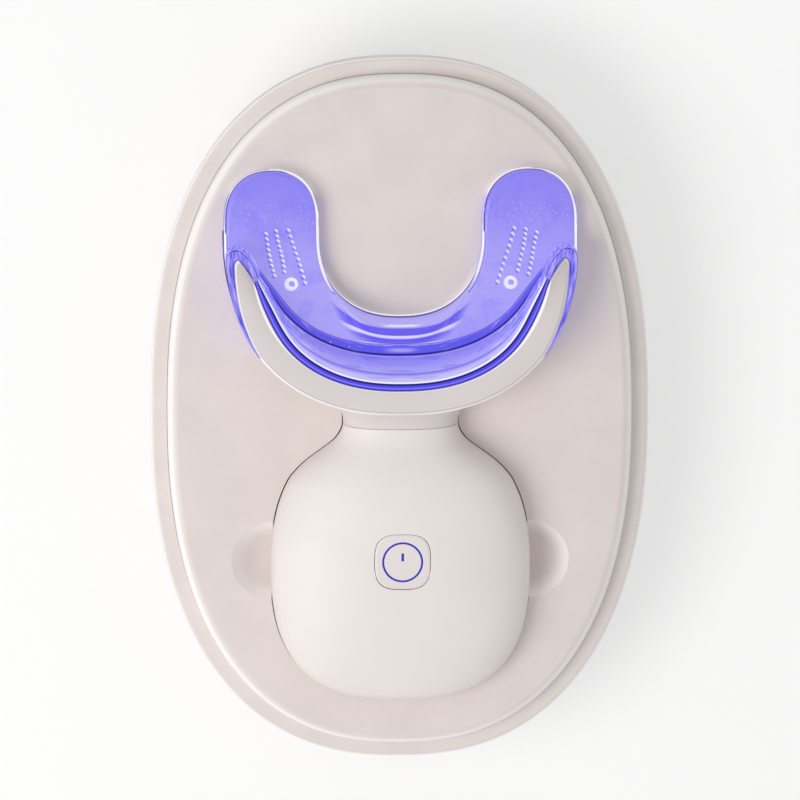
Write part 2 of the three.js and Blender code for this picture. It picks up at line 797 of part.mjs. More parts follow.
// The space between the arms, as a tall solid, drawn in by some amount.
function armGap(inset) {
  const innerWide = headRadius - armWidth - inset;
  const innerDeep = headRadius - archDepth - inset;
  const back = armRoundY + armEndLength + cutOverrun;
  const front = arch(innerWide, innerDeep, -Math.PI / 2, Math.PI / 2);
  const outline = [...front, [innerWide, back], [-innerWide, back]];
  return slab(outline, mouthBottomZ - cutOverrun, mouthTopZ + cutOverrun);
}

// The room that the head takes out of the mouthpiece: the head itself, and all that lies in front of it.
function headRoom() {
  const past = headRadius + cutOverrun;
  const clear = (angle) => (angle < coverAngle ? past : headOuterRadius(angle) + fitGap);
  const turn = (tipRoomShare * fitGap) / headRadius;
  const outline = crescent(clear, mouthOuterRadius, tipAngle + turn, tipInnerAngle + turn);
  return slab(outline, mouthBottomZ - cutOverrun, mouthTopZ + cutOverrun);
}

function mouthpiece() {
  const ridges = joined(ridge(1), ridge(-1)).subtract(armGap(0));
  return joined(bitePlate(), frontWall(), ridges).subtract(headRoom());
}

// Power button and what it pushes

function buttonCap() {
  const low = raised(buttonOutline(0), buttonFlangeTopZ - blendDepth);
  const shoulder = raised(buttonOutline(0), buttonTopZ - buttonEdgeRound);
  const top = raised(buttonOutline(-buttonEdgeRound), buttonTopZ);
  const flange = slab(buttonOutline(buttonFlange), buttonFlangeZ, buttonFlangeTopZ);
  const grooveZ = buttonTopZ - ringDepth - inlayGap;
  const outer = ringRadius + inlayGap;
  const inner = ringRadius - ringLine - inlayGap;
  const groove = ringSolid(outer, inner, cutOverrun, 0, buttonY, grooveZ, ringSteps);
  const wide = barWidth + 2 * inlayGap;
  const long = barLength + 2 * inlayGap;
  const slot = box(wide, long, cutOverrun, 0, buttonY + barOffset, grooveZ);
  return cut(joined(loft([low, shoulder, top]), flange), groove, slot);
}

// The seal hangs under the shell, whose inside is lowest over the seal's corner.
const sealReach = buttonWidth / 2 + buttonFlange + fitGap + sealWidth;
const sealTopZ = midZ + innerHalfHeight(sealReach, buttonY + sealReach) - fitGap;
const sealZ = sealTopZ - sealThickness;

function buttonSeal() {
  const hole = buttonFlange + fitGap;
  const outer = slab(buttonOutline(hole + sealWidth), sealZ, sealTopZ);
  const inner = slab(buttonOutline(hole), sealZ - cutOverrun, sealTopZ + cutOverrun);
  return outer.subtract(inner);
}

function switchBody() {
  const body = box(switchWidth, switchWidth, switchHeight, 0, buttonY, switchZ);
  const bore = disc(plungerRadius + fitGap, cutOverrun, 0, buttonY, switchBoreZ, smallSteps);
  return body.subtract(bore);
}

function switchPlunger() {
  return disc(plungerRadius, plungerLength, 0, buttonY, plungerBottomZ, smallSteps);
}

// A wire through a list of places, as a thin tube.
function wire(places, radius) {
  const path = new THREE.CatmullRomCurve3(places.map(([x, y, z]) => new THREE.Vector3(x, y, z)));
  const outline = oval(radius, radius, circlePower, wireSides);
  const round = new THREE.Shape(outline.map(([x, y]) => new THREE.Vector2(x, y)));
  return new THREE.ExtrudeGeometry(round, { steps: wireSteps, extrudePath: path, bevelEnabled: false });
}

// A lead from the cell's end up round the board's edge to the board's top.
function batteryLead(side) {
  const startY = batteryFrontY + fitGap;
  const outY = Math.max(startY, mainBoardFrontY + fitGap + leadRadius) + leadRadius;
  const x = side * batteryLeadSpread;
  const low = batteryZ + batteryThickness / 2;
  const high = mainBoardTopZ + fitGap + leadRadius;
  return wire(
    [
      [x, startY, low],
      [x, outY, low + leadRadius],
      [x, outY, high - leadRadius],
      [x, mainBoardFrontY - 2 * leadRadius, high],
    ],
    leadRadius,
  );
}

// Charging case

function caseOval(inset) {
  return oval(caseHalfWidth - inset, caseHalfLength - inset, casePower, caseSteps);
}

const padHalfWidth = caseHalfWidth - caseTuck - footMargin;
const padHalfLength = caseHalfLength - caseTuck - footMargin;

function footOutline(grown) {
  return oval(padHalfWidth + grown, padHalfLength + grown, casePower, caseSteps);
}

const caseScrewX = padHalfWidth * caseScrewXShare;
const caseScrewY = padHalfLength * caseScrewYShare;
const caseScrewPlaces = [
  [-caseScrewX, -caseScrewY],
  [caseScrewX, -caseScrewY],
  [-caseScrewX, caseScrewY],
  [caseScrewX, caseScrewY],
];
const caseScrewZ = footThickness + fitGap;
const caseBossTopZ = floorZ + caseBossHeight;

// How far the bowl's side is drawn in at a share of its height under the rim.
function tuckAt(share) {
  return caseTuck * (1 - Math.sqrt(1 - share * share));
}

// The socket's mouth stands just inside the bowl's wall at the socket's height.
const socketFaceInset = tuckAt((rimZ - socketZ) / (rimZ - footReveal)) + caseWall + portRecess;
const socketFaceY = socketFaceInset - caseHalfLength;
const chargeBoardWidth = 2 * (caseScrewX - caseBossRadius - chargeBoardGap);
const chargeBoardY = socketFaceY + socketOverhang + chargeBoardLength / 2;

function chargeBoardPosts() {
  const x = chargeBoardWidth / 2 - boardPostRadius - fitGap;
  const y = chargeBoardLength / 2 - boardPostRadius - fitGap;
  const corners = [[-x, -y], [x, -y], [-x, y], [x, y]];
  return corners.map(([px, py]) => [px, py + chargeBoardY]);
}

// The bowl's side between the underside and the rim, as rings.
function bowlRings(wall) {
  const height = rimZ - footReveal - wall;
  return bowlAngleShares.map((share) => {
    const angle = (share * Math.PI) / 2;
    return raised(caseOval(wall + tuckAt(Math.sin(angle))), rimZ - height * Math.sin(angle));
  });
}

function caseBase() {
  const rim = roundEdge(rimEdgeRound).map(({ inset, depth }) => raised(caseOval(inset), rimZ - depth));
  const outside = loft([...bowlRings(0).slice(0, -1), ...rim.reverse()]);
  const lipZ = rimZ - rimLipDepth;
  const hollow = loft([...bowlRings(caseWall).slice(0, -1), raised(caseOval(caseWall), lipZ)]);
  const mouth = slab(caseOval(rimWidth), lipZ - blendDepth, rimZ + cutOverrun);
  const bowl = cut(outside, hollow, mouth);
  const bossZ = footReveal + blendDepth;
  const bosses = caseScrewPlaces.map(([x, y]) => {
    return disc(caseBossRadius, caseBossTopZ - bossZ, x, y, bossZ);
  });
  const posts = chargeBoardPosts().map(([x, y]) => {
    return disc(boardPostRadius, boardPost + blendDepth, x, y, floorZ - blendDepth, smallSteps);
  });
  const padBed = slab(footOutline(fitGap), footReveal - cutOverrun, footThickness);
  const headDepth = caseScrewHeadHeight + fitGap + cutOverrun;
  const screwCuts = caseScrewPlaces.flatMap(([x, y]) => [
    disc(caseScrewHead + fitGap, headDepth, x, y, caseScrewZ - cutOverrun, smallSteps),
    disc(caseScrewShank + fitGap, caseBossTopZ + cutOverrun, x, y, 0, smallSteps),
  ]);
  return cut(joined(bowl, ...bosses, ...posts), padBed, ...screwCuts, portHole());
}

// A bar along Y with a section as high as its ends are round, from a place on.
function stadium(width, height, fromY, length) {
  const half = (width - height) / 2;
  const shape = new THREE.Shape();
  shape.absarc(half, 0, height / 2, -Math.PI / 2, Math.PI / 2, false);
  shape.absarc(-half, 0, height / 2, Math.PI / 2, (3 * Math.PI) / 2, false);
  const options = { depth: length, bevelEnabled: false, curveSegments: portSteps };
  const geometry = new THREE.ExtrudeGeometry(shape, options);
  return solid(geometry.rotateX(Math.PI / 2).translate(0, fromY + length, socketZ + socketHeight / 2));
}

function portHole() {
  const width = socketWidth + 2 * portMargin;
  const height = socketHeight + 2 * portMargin;
  return stadium(width, height, socketFaceY - caseTuck, caseTuck + socketLength);
}

function usbSocket() {
  const height = socketHeight - fitGap;
  const wall = 2 * socketWall;
  const outside = stadium(socketWidth, height, socketFaceY, socketLength);
  const depth = cutOverrun + socketLength - socketWall;
  const inside = stadium(socketWidth - wall, height - wall, socketFaceY - cutOverrun, depth);
  const tongueY = socketFaceY + socketLength / 2 + socketWall;
  const tongueZ = socketZ + socketHeight / 2 - socketTongue / 2;
  const tongue = box(socketWidth / 2, socketLength - wall, socketTongue, 0, tongueY, tongueZ);
  return outside.subtract(inside).add(tongue);
}

function trayOval(inset) {
  return caseOval(rimWidth + fitGap + inset);
}

// The part of the nest that stays as high as the arms' bed, inside the front wall's lower half.
function nestCore(inset, topZ) {
  const wide = wallFootRadius - trayWall - inset;
  const deep = headRadius - archDepth - nestGap - inset;
  const front = arch(wide, deep, -Math.PI / 2, Math.PI / 2);
  return slab([...front, [wide, armRoundY], [-wide, armRoundY]], nestUndersideZ - cutOverrun, topZ);
}

function headBedOutline(grown) {
  const back = archY + grown;
  const half = headRadius + grown;
  return [...arch(half, half, -Math.PI / 2, Math.PI / 2), [half, back], [-half, back]];
}

function handleBedOutline(grown) {
  const right = seamOutline(-grown);
  return [...right, ...mirrored(right).reverse()];
}

// The tray's plate with everything that the nest and the scoops need under it.
function trayBlank(plateZ) {
  const skirtZ = rimZ - traySkirt;
  const edge = roundEdge(trayEdgeRound).map(({ inset, depth }) => raised(trayOval(inset), trayTopZ - depth));
  const under = slab(trayOval(trayWall), skirtZ - cutOverrun, trayTopZ - trayPlate);
  const plate = loft([raised(trayOval(0), skirtZ), ...edge.reverse()]).subtract(under);
  const around = nestGap + trayWall;
  const headBed = slab(headBedOutline(around), headNestZ - trayWall, plateZ);
  const armBed = slab(biteOutline(-around), armNestZ - trayWall, plateZ);
  const handleBed = slab(handleBedOutline(around), nestUndersideZ, plateZ);
  const neckBedWidth = neckWidth + 2 * (around + neckFlare);
  const neckBedLength = headFrontY - shoulderY + 2 * around;
  const neckBedY = (headFrontY + shoulderY) / 2;
  const neckBedHeight = plateZ - nestUndersideZ;
  const neckBed = box(neckBedWidth, neckBedLength, neckBedHeight, 0, neckBedY, nestUndersideZ);
  const scoopBeds = [-1, 1].map((side) => scoop(side, trayWall, plateZ));
  return joined(plate, headBed, armBed, handleBed, neckBed, ...scoopBeds);
}

function caseTray() {
  const topZ = trayTopZ + cutOverrun;
  const plateZ = trayTopZ - trayPlate + blendDepth;
  const neckRoomY = headFrontY + headWall;
  const handleRoom = pillow(nestGap, headFrontY);
  const neckRoom = neck(nestGap, shoulderY, neckRoomY);
  const headSpace = slab(headBedOutline(nestGap), headNestZ, topZ).subtract(nestCore(0, topZ));
  const armRoom = slab(biteOutline(-nestGap), armNestZ, topZ);
  const ridgeRoom = ridge(-1, nestGap).subtract(armGap(nestGap));
  const neckHalf = neckWidth / 2 + nestGap;
  const aboveNeck = slab(
    [[-neckHalf, shoulderY], [neckHalf, shoulderY], [neckHalf, neckRoomY], [-neckHalf, neckRoomY]],
    trayTopZ - blendDepth,
    topZ,
  );
  const underCore = nestCore(trayWall, armNestZ - ridgeHeight - nestGap - trayWall);
  const rooms = [handleRoom, neckRoom, headSpace, armRoom];
  const carved = cut(trayBlank(plateZ), ...rooms, ridgeRoom, aboveNeck, underCore);
  const posts = caseScrewPlaces.map(([x, y]) => {
    const post = disc(casePostRadius, plateZ - caseBossTopZ - fitGap, x, y, caseBossTopZ + fitGap);
    return cut(post, ...rooms);
  });
  const screwHoles = caseScrewPlaces.map(([x, y]) => {
    return disc(caseScrewShank + fitGap, caseScrewLength + fitGap, x, y, caseScrewZ, smallSteps);
  });
  const scoops = [-1, 1].map((side) => scoop(side, 0, topZ));
  return cut(joined(carved, ...posts), ...scoops, ...screwHoles);
}

// A finger scoop beside the handle, grown by some amount and cut off at a height.
function scoop(side, grown, topZ) {
  const ball = (scoopRadius * scoopRadius + scoopDepth * scoopDepth) / (2 * scoopDepth);
  const x = side * (handleWidth / 2);
  const geometry = new THREE.SphereGeometry(ball + grown, scoopSteps, smallSteps);
  const placed = solid(geometry.rotateX(Math.PI / 2).translate(x, handleY, trayTopZ + ball - scoopDepth));
  const size = 4 * (ball + grown);
  return placed.subtract(box(size, size, size, x, handleY, topZ));
}

function footPad() {
  return slab(footOutline(0), 0, footThickness);
}

// A lead from the charging board's top up to the edge of the coil.
function transmitLead(side) {
  const x = side * leadSpread;
  const coilEdgeY = handleY - transmitCoilRadius;
  const outY = coilEdgeY - fitGap - 2 * leadRadius;
  const high = transmitCoilZ + transmitCoilThickness / 2;
  const low = chargeBoardTopZ + fitGap;
  return wire([[x, outY, low], [x, outY, high - 2 * leadRadius], [x, coilEdgeY - fitGap, high]], leadRadius);
}

// The assembly

const kit = new THREE.Group();

function place(name, made, look) {
  const mesh = new THREE.Mesh(made.getMesh ? geometryOf(made) : made, look);
  mesh.name = name;
  kit.add(mesh);
  return mesh;
}

const looks = {
  tray: material(colours.trayPlastic, 0.6),
  base: material(colours.casePlastic, 0.5),
  handle: material(colours.handlePlastic, 0.25),
  head: material(colours.headPlastic, 0.35),
  silicone: material(colours.silicone, 0.3),
  softWhite: material(colours.softWhite, 0.7),
  softGrey: material(colours.softGrey, 0.8),
  blue: material(colours.lightBlue, 0.4),
  board: material(colours.board, 0.5),
  steel: material(colours.steel, 0.3, 1),
  copper: material(colours.copper, 0.35, 1),
  ferrite: material(colours.ferrite, 0.7),
  battery: material(colours.battery, 0.4, 0.5),
  foam: material(colours.foam, 0.9),
  clear: material(colours.clear, 0.1),
  led: material(colours.led, 0.3),
  redLead: material(colours.redLead, 0.5),
  blackLead: material(colours.blackLead, 0.5),
};

// A round flat coil, and a round plate, lying at a height under the handle's widest place.
function coil(radius, winding, thickness, z) {
  return ringSolid(radius, radius - winding, thickness, 0, handleY, z, ringSteps);
}

function plate(radius, thickness, z) {
  return disc(radius, thickness, 0, handleY, z, ringSteps);
}

place("case_base_shell", caseBase(), looks.base);
place("case_tray", caseTray(), looks.tray);
place("non_slip_pad", footPad(), looks.softGrey);
caseScrewPlaces.forEach(([x, y], number) => {
  const made = screw(caseScrewHead, caseScrewShank, caseScrewHeadHeight, caseScrewLength, x, y, caseScrewZ);
  place(`case_screw_${number + 1}`, made, looks.steel);
});
const boardHeight = chargeBoardThickness;
const chargeBoard = box(chargeBoardWidth, chargeBoardLength, boardHeight, 0, chargeBoardY, chargeBoardZ);
place("charging_board", chargeBoard, looks.board);
place("usb_socket", usbSocket(), looks.steel);
const transmitCoil = coil(transmitCoilRadius, transmitCoilWinding, transmitCoilThickness, transmitCoilZ);
place("transmit_coil", transmitCoil, looks.copper);
const transmitFerrite = plate(transmitCoilRadius, transmitFerriteThickness, transmitFerriteZ);
place("transmit_ferrite", transmitFerrite, looks.ferrite);
place("coil_lead_1", transmitLead(-1), looks.copper);
place("coil_lead_2", transmitLead(1), looks.copper);
const caseMagnetZ = nestUndersideZ - fitGap - magnetThickness;
place("case_magnet", disc(magnetRadius, magnetThickness, 0, handleMagnetY, caseMagnetZ), looks.steel);

const shells = handleShells();
place("handle_top_shell", shells.top, looks.handle);
place("handle_bottom_shell", shells.bottom, looks.handle);
place("handle_seal", handleSeal(), looks.softGrey);
handleScrewPlaces.forEach(([x, y], number) => {
  const made = screw(
    handleScrewHead, handleScrewShank, handleScrewHeadHeight, handleScrewLength, x, y, handleScrewZ,
  );
  place(`handle_screw_${number + 1}`, made, looks.steel);
});
const receiveCoil = coil(receiveCoilRadius, receiveCoilWinding, receiveCoilThickness, receiveCoilZ);
place("receive_coil", receiveCoil, looks.copper);
const receiveFerrite = plate(receiveCoilRadius, receiveFerriteThickness, receiveFerriteZ);
place("receive_ferrite", receiveFerrite, looks.ferrite);
const battery = box(batteryWidth, batteryLength, batteryThickness, 0, batteryY, batteryZ);
place("battery_cell", battery, looks.battery);
place("battery_pad", box(padWidth, padLength, padThickness, 0, batteryY, padZ), looks.foam);
const mainBoard = box(mainBoardWidth, mainBoardLength, mainBoardThickness, 0, mainBoardY, mainBoardZ);
place("main_board", mainBoard, looks.board);
place("battery_lead_red", batteryLead(1), looks.redLead);
place("battery_lead_black", batteryLead(-1), looks.blackLead);
place("device_magnet", disc(magnetRadius, magnetThickness, 0, handleMagnetY, deviceMagnetZ), looks.steel);
place("switch_body", switchBody(), looks.steel);
place("button_seal", buttonSeal(), looks.softWhite);

place("head_housing", headHousing(), looks.head);
place("neck_seal", neckSeal(0), looks.softGrey);
place("led_window", ledWindow(), looks.clear);
place("led_strip", ledStrip(), looks.board);
for (let number = 0; number < ledCount; number += 1) {
  const { x, y, turn } = ledPlace(number);
  const mesh = place(`led_${number + 1}`, led(), looks.led);
  mesh.position.set(x, y, midZ);
  mesh.rotation.z = turn;
}
place("mouthpiece", mouthpiece(), looks.silicone);

place("button_cap", buttonCap(), looks.handle);
const inlayZ = buttonTopZ - ringDepth;
const powerRing = ringSolid(ringRadius, ringRadius - ringLine, ringDepth, 0, buttonY, inlayZ, ringSteps);
place("power_ring", powerRing, looks.blue);
place("power_bar", box(barWidth, barLength, ringDepth, 0, buttonY + barOffset, inlayZ), looks.blue);
place("switch_plunger", switchPlunger(), looks.softGrey);

export default kit;
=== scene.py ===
# A wireless LED teeth whitening device lying face up in the nest of its oval charging case.
# Shapes are worked out in millimetres and finished in metres. +Y points to the mouthpiece, +Z up.
import math

import bmesh
import bpy
import numpy as np
from mathutils import Matrix, Vector


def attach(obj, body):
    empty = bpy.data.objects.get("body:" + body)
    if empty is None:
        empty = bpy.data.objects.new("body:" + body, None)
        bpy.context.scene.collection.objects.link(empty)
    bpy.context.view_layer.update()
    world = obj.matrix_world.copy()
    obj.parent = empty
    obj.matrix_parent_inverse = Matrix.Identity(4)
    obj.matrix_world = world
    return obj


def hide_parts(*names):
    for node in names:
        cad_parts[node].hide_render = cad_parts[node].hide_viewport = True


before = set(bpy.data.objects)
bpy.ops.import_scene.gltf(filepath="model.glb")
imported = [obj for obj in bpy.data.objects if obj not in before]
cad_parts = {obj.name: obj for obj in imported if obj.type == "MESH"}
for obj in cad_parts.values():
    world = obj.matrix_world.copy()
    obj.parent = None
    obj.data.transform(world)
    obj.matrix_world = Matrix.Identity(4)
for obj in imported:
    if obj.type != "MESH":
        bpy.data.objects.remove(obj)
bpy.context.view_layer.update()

MM = 0.001
WELD = 0.0005
FAR = 99.0
QUARTER = math.pi / 2

# Heights
MID_Z = 26.2
TRAY_Z = 25.0
RIM_Z = 21.0
UNDERSIDE_Z = 0.8
HEAD_NEST_Z = 15.7
ARM_NEST_Z = 23.4
NEST_UNDERSIDE_Z = 13.3

# Handle
HANDLE_WIDTH = 48.4
HANDLE_LOWER = 26.2
HANDLE_THICKNESS = 22.0
HANDLE_POWER = 2.7
SECTION_POWER = 2.4
HANDLE_WALL = 1.8
HANDLE_Y = -28.25
SHOULDER_SIDE = (
    (-28.25, 24.25), (-24.2, 24.1), (-20.4, 23.55), (-16.6, 22.6), (-12.75, 20.95), (-10.84, 19.5),
    (-8.92, 17.5), (-7.0, 14.95), (-5.1, 12.45), (-3.2, 11.1), (-1.65, 10.75),
)
SEAM_GAP = 0.06
SEAL_INSETS = (0.5, 1.3)
SEAL_THICKNESS = 0.6
SEAL_SHORT = 0.8
SCREW_REACH = (17.0, 13.0)
BOSS_RADIUS = 3.1
BOSS_INSET = 0.9
SCREW_WELL_RADIUS = 2.2
SCREW_WELL_Z = 22.4
SCREW_HOLE_RADIUS = 1.3
SCREW_HEAD_Z = 20.6

# Neck
NECK_SEAM_Y = -1.65
NECK_GAP = 0.03
NECK_HALF_WIDTH = 10.75
NECK_HALF_HEIGHT = 7.0
NECK_ROOT_Y = 4.7
NECK_STUB = 3.2
NECK_FLARE = 1.4
NECK_FLARE_POWER = 2.2
NECK_STRAIGHT = 0.4
NECK_FLARE_END_Y = 3.15
NECK_RISE = 2.0
NECK_RISE_END_Y = 1.55

# Button
BUTTON_Y = -26.15
BUTTON_HALF = 5.2
BUTTON_POWER = 3.1
BUTTON_TOP_Z = 37.1
BUTTON_WINDOW = 7.6
BUTTON_GAP = 0.11
SHELL_EDGE = 0.11
BUTTON_ROUND = 0.35
GROOVE_RADII = (3.46, 3.83)
LIGHT_RADII = (3.49, 3.80)
LIGHT_DEPTH = 0.6
BAR_Y = BUTTON_Y + 0.94
BAR_WIDTH = 0.42
BAR_LENGTH = 1.4

# Head
ARCH_Y = 34.55
ARCH_POWER = 2.3
HEAD_RADIUS = 33.0
HEAD_INNER = 28.25
HEAD_HALF = 10.2
HEAD_TUCK = 1.45
HEAD_TUCK_POWER = 0.85
SWELL = 0.4
SWELL_DEGREES = 63
SWELL_SPREAD = 15
TIP_DROP = 3.6
TIP_DROP_LENGTH = 21.0
TIP_ANGLE = math.radians(83.5)
TIP_INNER_ANGLE = math.radians(74)
TIP = (30.5, 31.0)
TIP_SHOULDER = (31.3, 31.0)
TIP_REACH = 2.2
TIP_STEPS = 16
TIP_SPACING = 1.6
COVER_ANGLE = math.radians(52)

# Mouthpiece
SILICONE_GAP = 0.1
WALL_HALF = 10
WALL_TOP_WIDTH = 1.55
WALL_EDGE = 0.42
WALL_INNER_EDGE = 0.2
WALL_BEND = 0.0036
WALL_BEND_DEGREES = 61
WALL_FOOT = (26.4, 22.8)
FOOT_BEND = 0.00022
FOOT_BEND_DEGREES = 62
WALL_END_ANGLE = math.radians(74)
SLIVER_ANGLE = math.radians(84.8)
SIDE_OVERLAP = 0.12
NOSE = (30.65, 32.75)
NOSE_CONTROL = (28.0, 31.9)
NOSE_FOOT_CONTROL = (27.7, 32.4)
NOSE_FAR_CONTROL = (32.9, 32.9)
NOSE_TIP = (30.5, 31.15)
NOSE_INNER_CONTROL = (28.6, 30.2)
NOSE_OUTER_CONTROL = (31.4, 31.1)
BITE_INNER = (15.3, 15.95)
BITE_HALF = 2.5
BITE_EDGE = 0.9
BITE_SIDE = HEAD_RADIUS - 0.02
BITE_HIDDEN = 27.6
BITE_FREE_Y = 29.6
BITE_OPEN = (30, 31.5)
RIDGE = (13.9, 21.2)
RIDGE_HEIGHT = 2.5
RIDGE_FULL_WIDTH = 3.5
RIDGE_EDGE = 0.3
RIDGE_UP = 0.34
RIDGE_DOWN = 0.46
ARM_HALF_WIDTH = 8.85
ARM_MIDDLE = HEAD_RADIUS - ARM_HALF_WIDTH
ARM_ROUND_Y = 36.55
ARM_END = 10.0
GRIP_ROWS = (
    ((25.4, 34.9), (23.7, 26.9), 9), ((23.3, 35.5), (21.9, 27.7), 9), ((21.0, 35.6), (18.1, 25.5), 10),
)
GRIP_RADIUS = 0.42
GRIP_SWAY = 0.12
MARK = (20.5, 25.4)
MARK_RADIUS = 0.85
MARK_TUBE = 0.4

# Case
CASE_POWER = 2.38
CASE_HALF_WIDTH = 46.65
CASE_HALF_LENGTH = 66.95
CASE_WALL = 2.4
CASE_TUCK = 16.0
RIM_WIDTH = 3.1
RIM_ROUND = 0.8
RIM_INNER_ROUND = 0.14
PAD_EDGE = CASE_TUCK + 1.6
PAD_GAP = 0.3
PAD_TOP_Z = 1.4
TRAY_EDGE = RIM_WIDTH + 0.06
TRAY_LIP = 1.6
TRAY_LIP_Z = 17.5
TRAY_ROUND = (2.0, 2.7)
NEST_GAP = 0.25
SCOOP_RADIUS = 9.405
SCOOP_Z = 30.805
CORE = (24.8, BITE_INNER[1] - 0.07)
RIDGE_ROOM = (14.3, 21.6)
RIDGE_ROOM_CORE = (14.9, 15.1)
RIDGE_ROOM_Z = (20.8, 24.0)
PORT_Z = 8.3
PORT = (9.6, 3.9)
PORT_DEPTH_Y = -52.5
SOCKET = (8.9, 2.9)
SOCKET_WALL = 0.4
SOCKET_Y = (-58.95, -51.55)
TONGUE = (6.7, 6.2, 0.7)
TONGUE_Y = -54.95

# Light and camera
WHITE = (1, 1, 1, 1)
SKY_LIGHT = 0.645
FLOOR_WHITE = 0.42
FLOOR_GLOW = 1.12
FLOOR_SHADE = 0.86
FLOOR_SIZE = 4
FLOOR_DROP = 0.0002
LAMP_PLACE = (-0.44, -0.12, 0.62)
LAMP_AIM = (0, 0, 0.02)
LAMP_COLOUR = (1.0, 0.985, 0.97)
CAMERA_ACROSS = (1.0, 0.0, 0.04)
CAMERA_UP = (0.0083, 0.978, -0.208)
CAMERA_AIM = (0.13, 1.46, 21.0)
CAMERA_DISTANCE = 5.0
SHOWN_WIDTH = 0.14984
SENSOR = 36


# Curves

def rounded(value, power):
    return math.copysign(abs(value) ** (2 / power), value)


def oval_width(share, power):
    return max(0.0, 1 - abs(share) ** power) ** (1 / power)


def quarter(steps):
    """Sine and cosine of even angles from zero to a right angle."""
    angles = [QUARTER * step / steps for step in range(steps + 1)]
    return [(math.sin(angle), math.cos(angle)) for angle in angles]


def turns(steps):
    return [2 * math.pi * step / steps for step in range(steps)]


def arch_point(wide, deep, angle):
    """A place on an arch round the head's centre, at an angle from its front."""
    x = wide * rounded(math.sin(angle), ARCH_POWER)
    return x, ARCH_Y - deep * rounded(math.cos(angle), ARCH_POWER)


def round_arch(radius, angle):
    return arch_point(radius, radius, angle)


def even_angles(last, count):
    """Angles from the front to a last one, evenly spaced along the arch."""
    fine = np.linspace(0, last, 3000)
    points = np.array([arch_point(1, 1, angle) for angle in fine])
    steps = np.hypot(*np.diff(points, axis=0).T)
    along = np.concatenate([[0], np.cumsum(steps)])
    return [float(angle) for angle in np.interp(np.linspace(0, along[-1], count + 1), along, fine)]


def half_arch(wide, deep, count):
    """The points of an arch from the left end to the right end."""
    angles = even_angles(QUARTER, 400)
    both = sorted([-angle for angle in angles[1:]] + angles)
    picked = np.interp(np.linspace(0, 1, count + 1), np.linspace(0, 1, len(both)), both)
    kept = [-QUARTER] + [angle for angle in picked if -QUARTER < angle < QUARTER] + [QUARTER]
    return [arch_point(wide, deep, angle) for angle in kept]


def arm_end_point(angle, grown=0.0):
    """A place on the outline of the right arm's rounded end."""
    x = ARM_MIDDLE + (ARM_HALF_WIDTH + grown) * rounded(math.cos(angle), ARCH_POWER)
    return x, ARM_ROUND_Y + (ARM_END + grown) * rounded(math.sin(angle), ARCH_POWER)


def between(a, b, share):
    return tuple(p + (q - p) * share for p, q in zip(a, b))


def curve(first, control, last, share):
    """A place on a bent line that leaves and reaches its ends along the control point."""
    return between(between(first, control, share), between(control, last, share), share)


def curve_places(first, control, last, steps):
    return [curve(first, control, last, step / steps) for step in range(1, steps + 1)]


# Meshes

def skin(rings, closed=True):
    """A welded surface through rings of points."""
    columns = len(rings[0]) if closed else len(rings[0]) - 1
    rows = len(rings) - 1
    made = bmesh.new()
    bmesh.ops.create_grid(made, x_segments=columns, y_segments=rows, size=0.5)
    for corner in made.verts:
        column = round((corner.co.x + 0.5) * columns)
        row = round((corner.co.y + 0.5) * rows)
        corner.co = rings[row][column % len(rings[0])]
    bmesh.ops.remove_doubles(made, verts=made.verts, dist=WELD)
    return made


def outward(made):
    bmesh.ops.remove_doubles(made, verts=made.verts, dist=WELD)
    bmesh.ops.recalc_face_normals(made, faces=made.faces)
    return made


def capped(rings):
    """A closed solid through rings of points, with a face on each end."""
    made = skin(rings)
    rims = [edge for edge in made.edges if edge.is_boundary]
    bmesh.ops.holes_fill(made, edges=rims, sides=0)
    return outward(made)


def both_sides(right):
    """Sections of the right half, with their mirror images before them."""
    return [[(-x, y, z) for x, y, z in section] for section in reversed(right[1:])] + right


def prism(outline, low, high):
    return capped([[(x, y, z) for x, y in outline] for z in (low, high)])


def drum(radius, low, high, x, y, steps=48):
    made = bmesh.new()
    place = Matrix.Translation((x, y, (low + high) / 2))
    bmesh.ops.create_cone(
        made, cap_ends=True, segments=steps, radius1=radius, radius2=radius, depth=high - low, matrix=place
    )
    return made


def block(size, place):
    made = bmesh.new()
    bmesh.ops.create_cube(made, size=1, matrix=Matrix.Translation(place) @ Matrix.Diagonal((*size, 1)))
    return made


def ball(radius, place, columns, rows, flat=1.0):
    made = bmesh.new()
    matrix = Matrix.Translation(place) @ Matrix.Diagonal((1, 1, flat, 1))
    bmesh.ops.create_uvsphere(made, u_segments=columns, v_segments=rows, radius=radius, matrix=matrix)
    return made


def spun(made, edges, steps, place):
    """Edges turned once round the vertical axis and moved to their place."""
    bmesh.ops.spin(
        made, geom=edges, cent=(0, 0, 0), axis=(0, 0, 1), angle=2 * math.pi, steps=steps, use_merge=True
    )
    bmesh.ops.translate(made, verts=made.verts, vec=place)
    return outward(made)


def lathed(profile, steps, place, closed):
    """A turned solid from the radii and heights of its profile."""
    made = bmesh.new()
    corners = [made.verts.new((radius, 0, z)) for radius, z in profile]
    pairs = list(zip(corners, corners[1:] + corners[:1])) if closed else zip(corners, corners[1:])
    return spun(made, [made.edges.new(pair) for pair in pairs], steps, place)


def placed(name, data):
    """An object of the scene that shows a mesh, a lamp or a camera."""
    thing = bpy.data.objects.new(name, data)
    bpy.context.scene.collection.objects.link(thing)
    return thing


def together(*parts):
    """Several meshes in one, side by side."""
    whole = bmesh.new()
    for part in parts:
        held = bpy.data.meshes.new("held")
        part.to_mesh(held)
        part.free()
        whole.from_mesh(held)
        bpy.data.meshes.remove(held)
    return whole


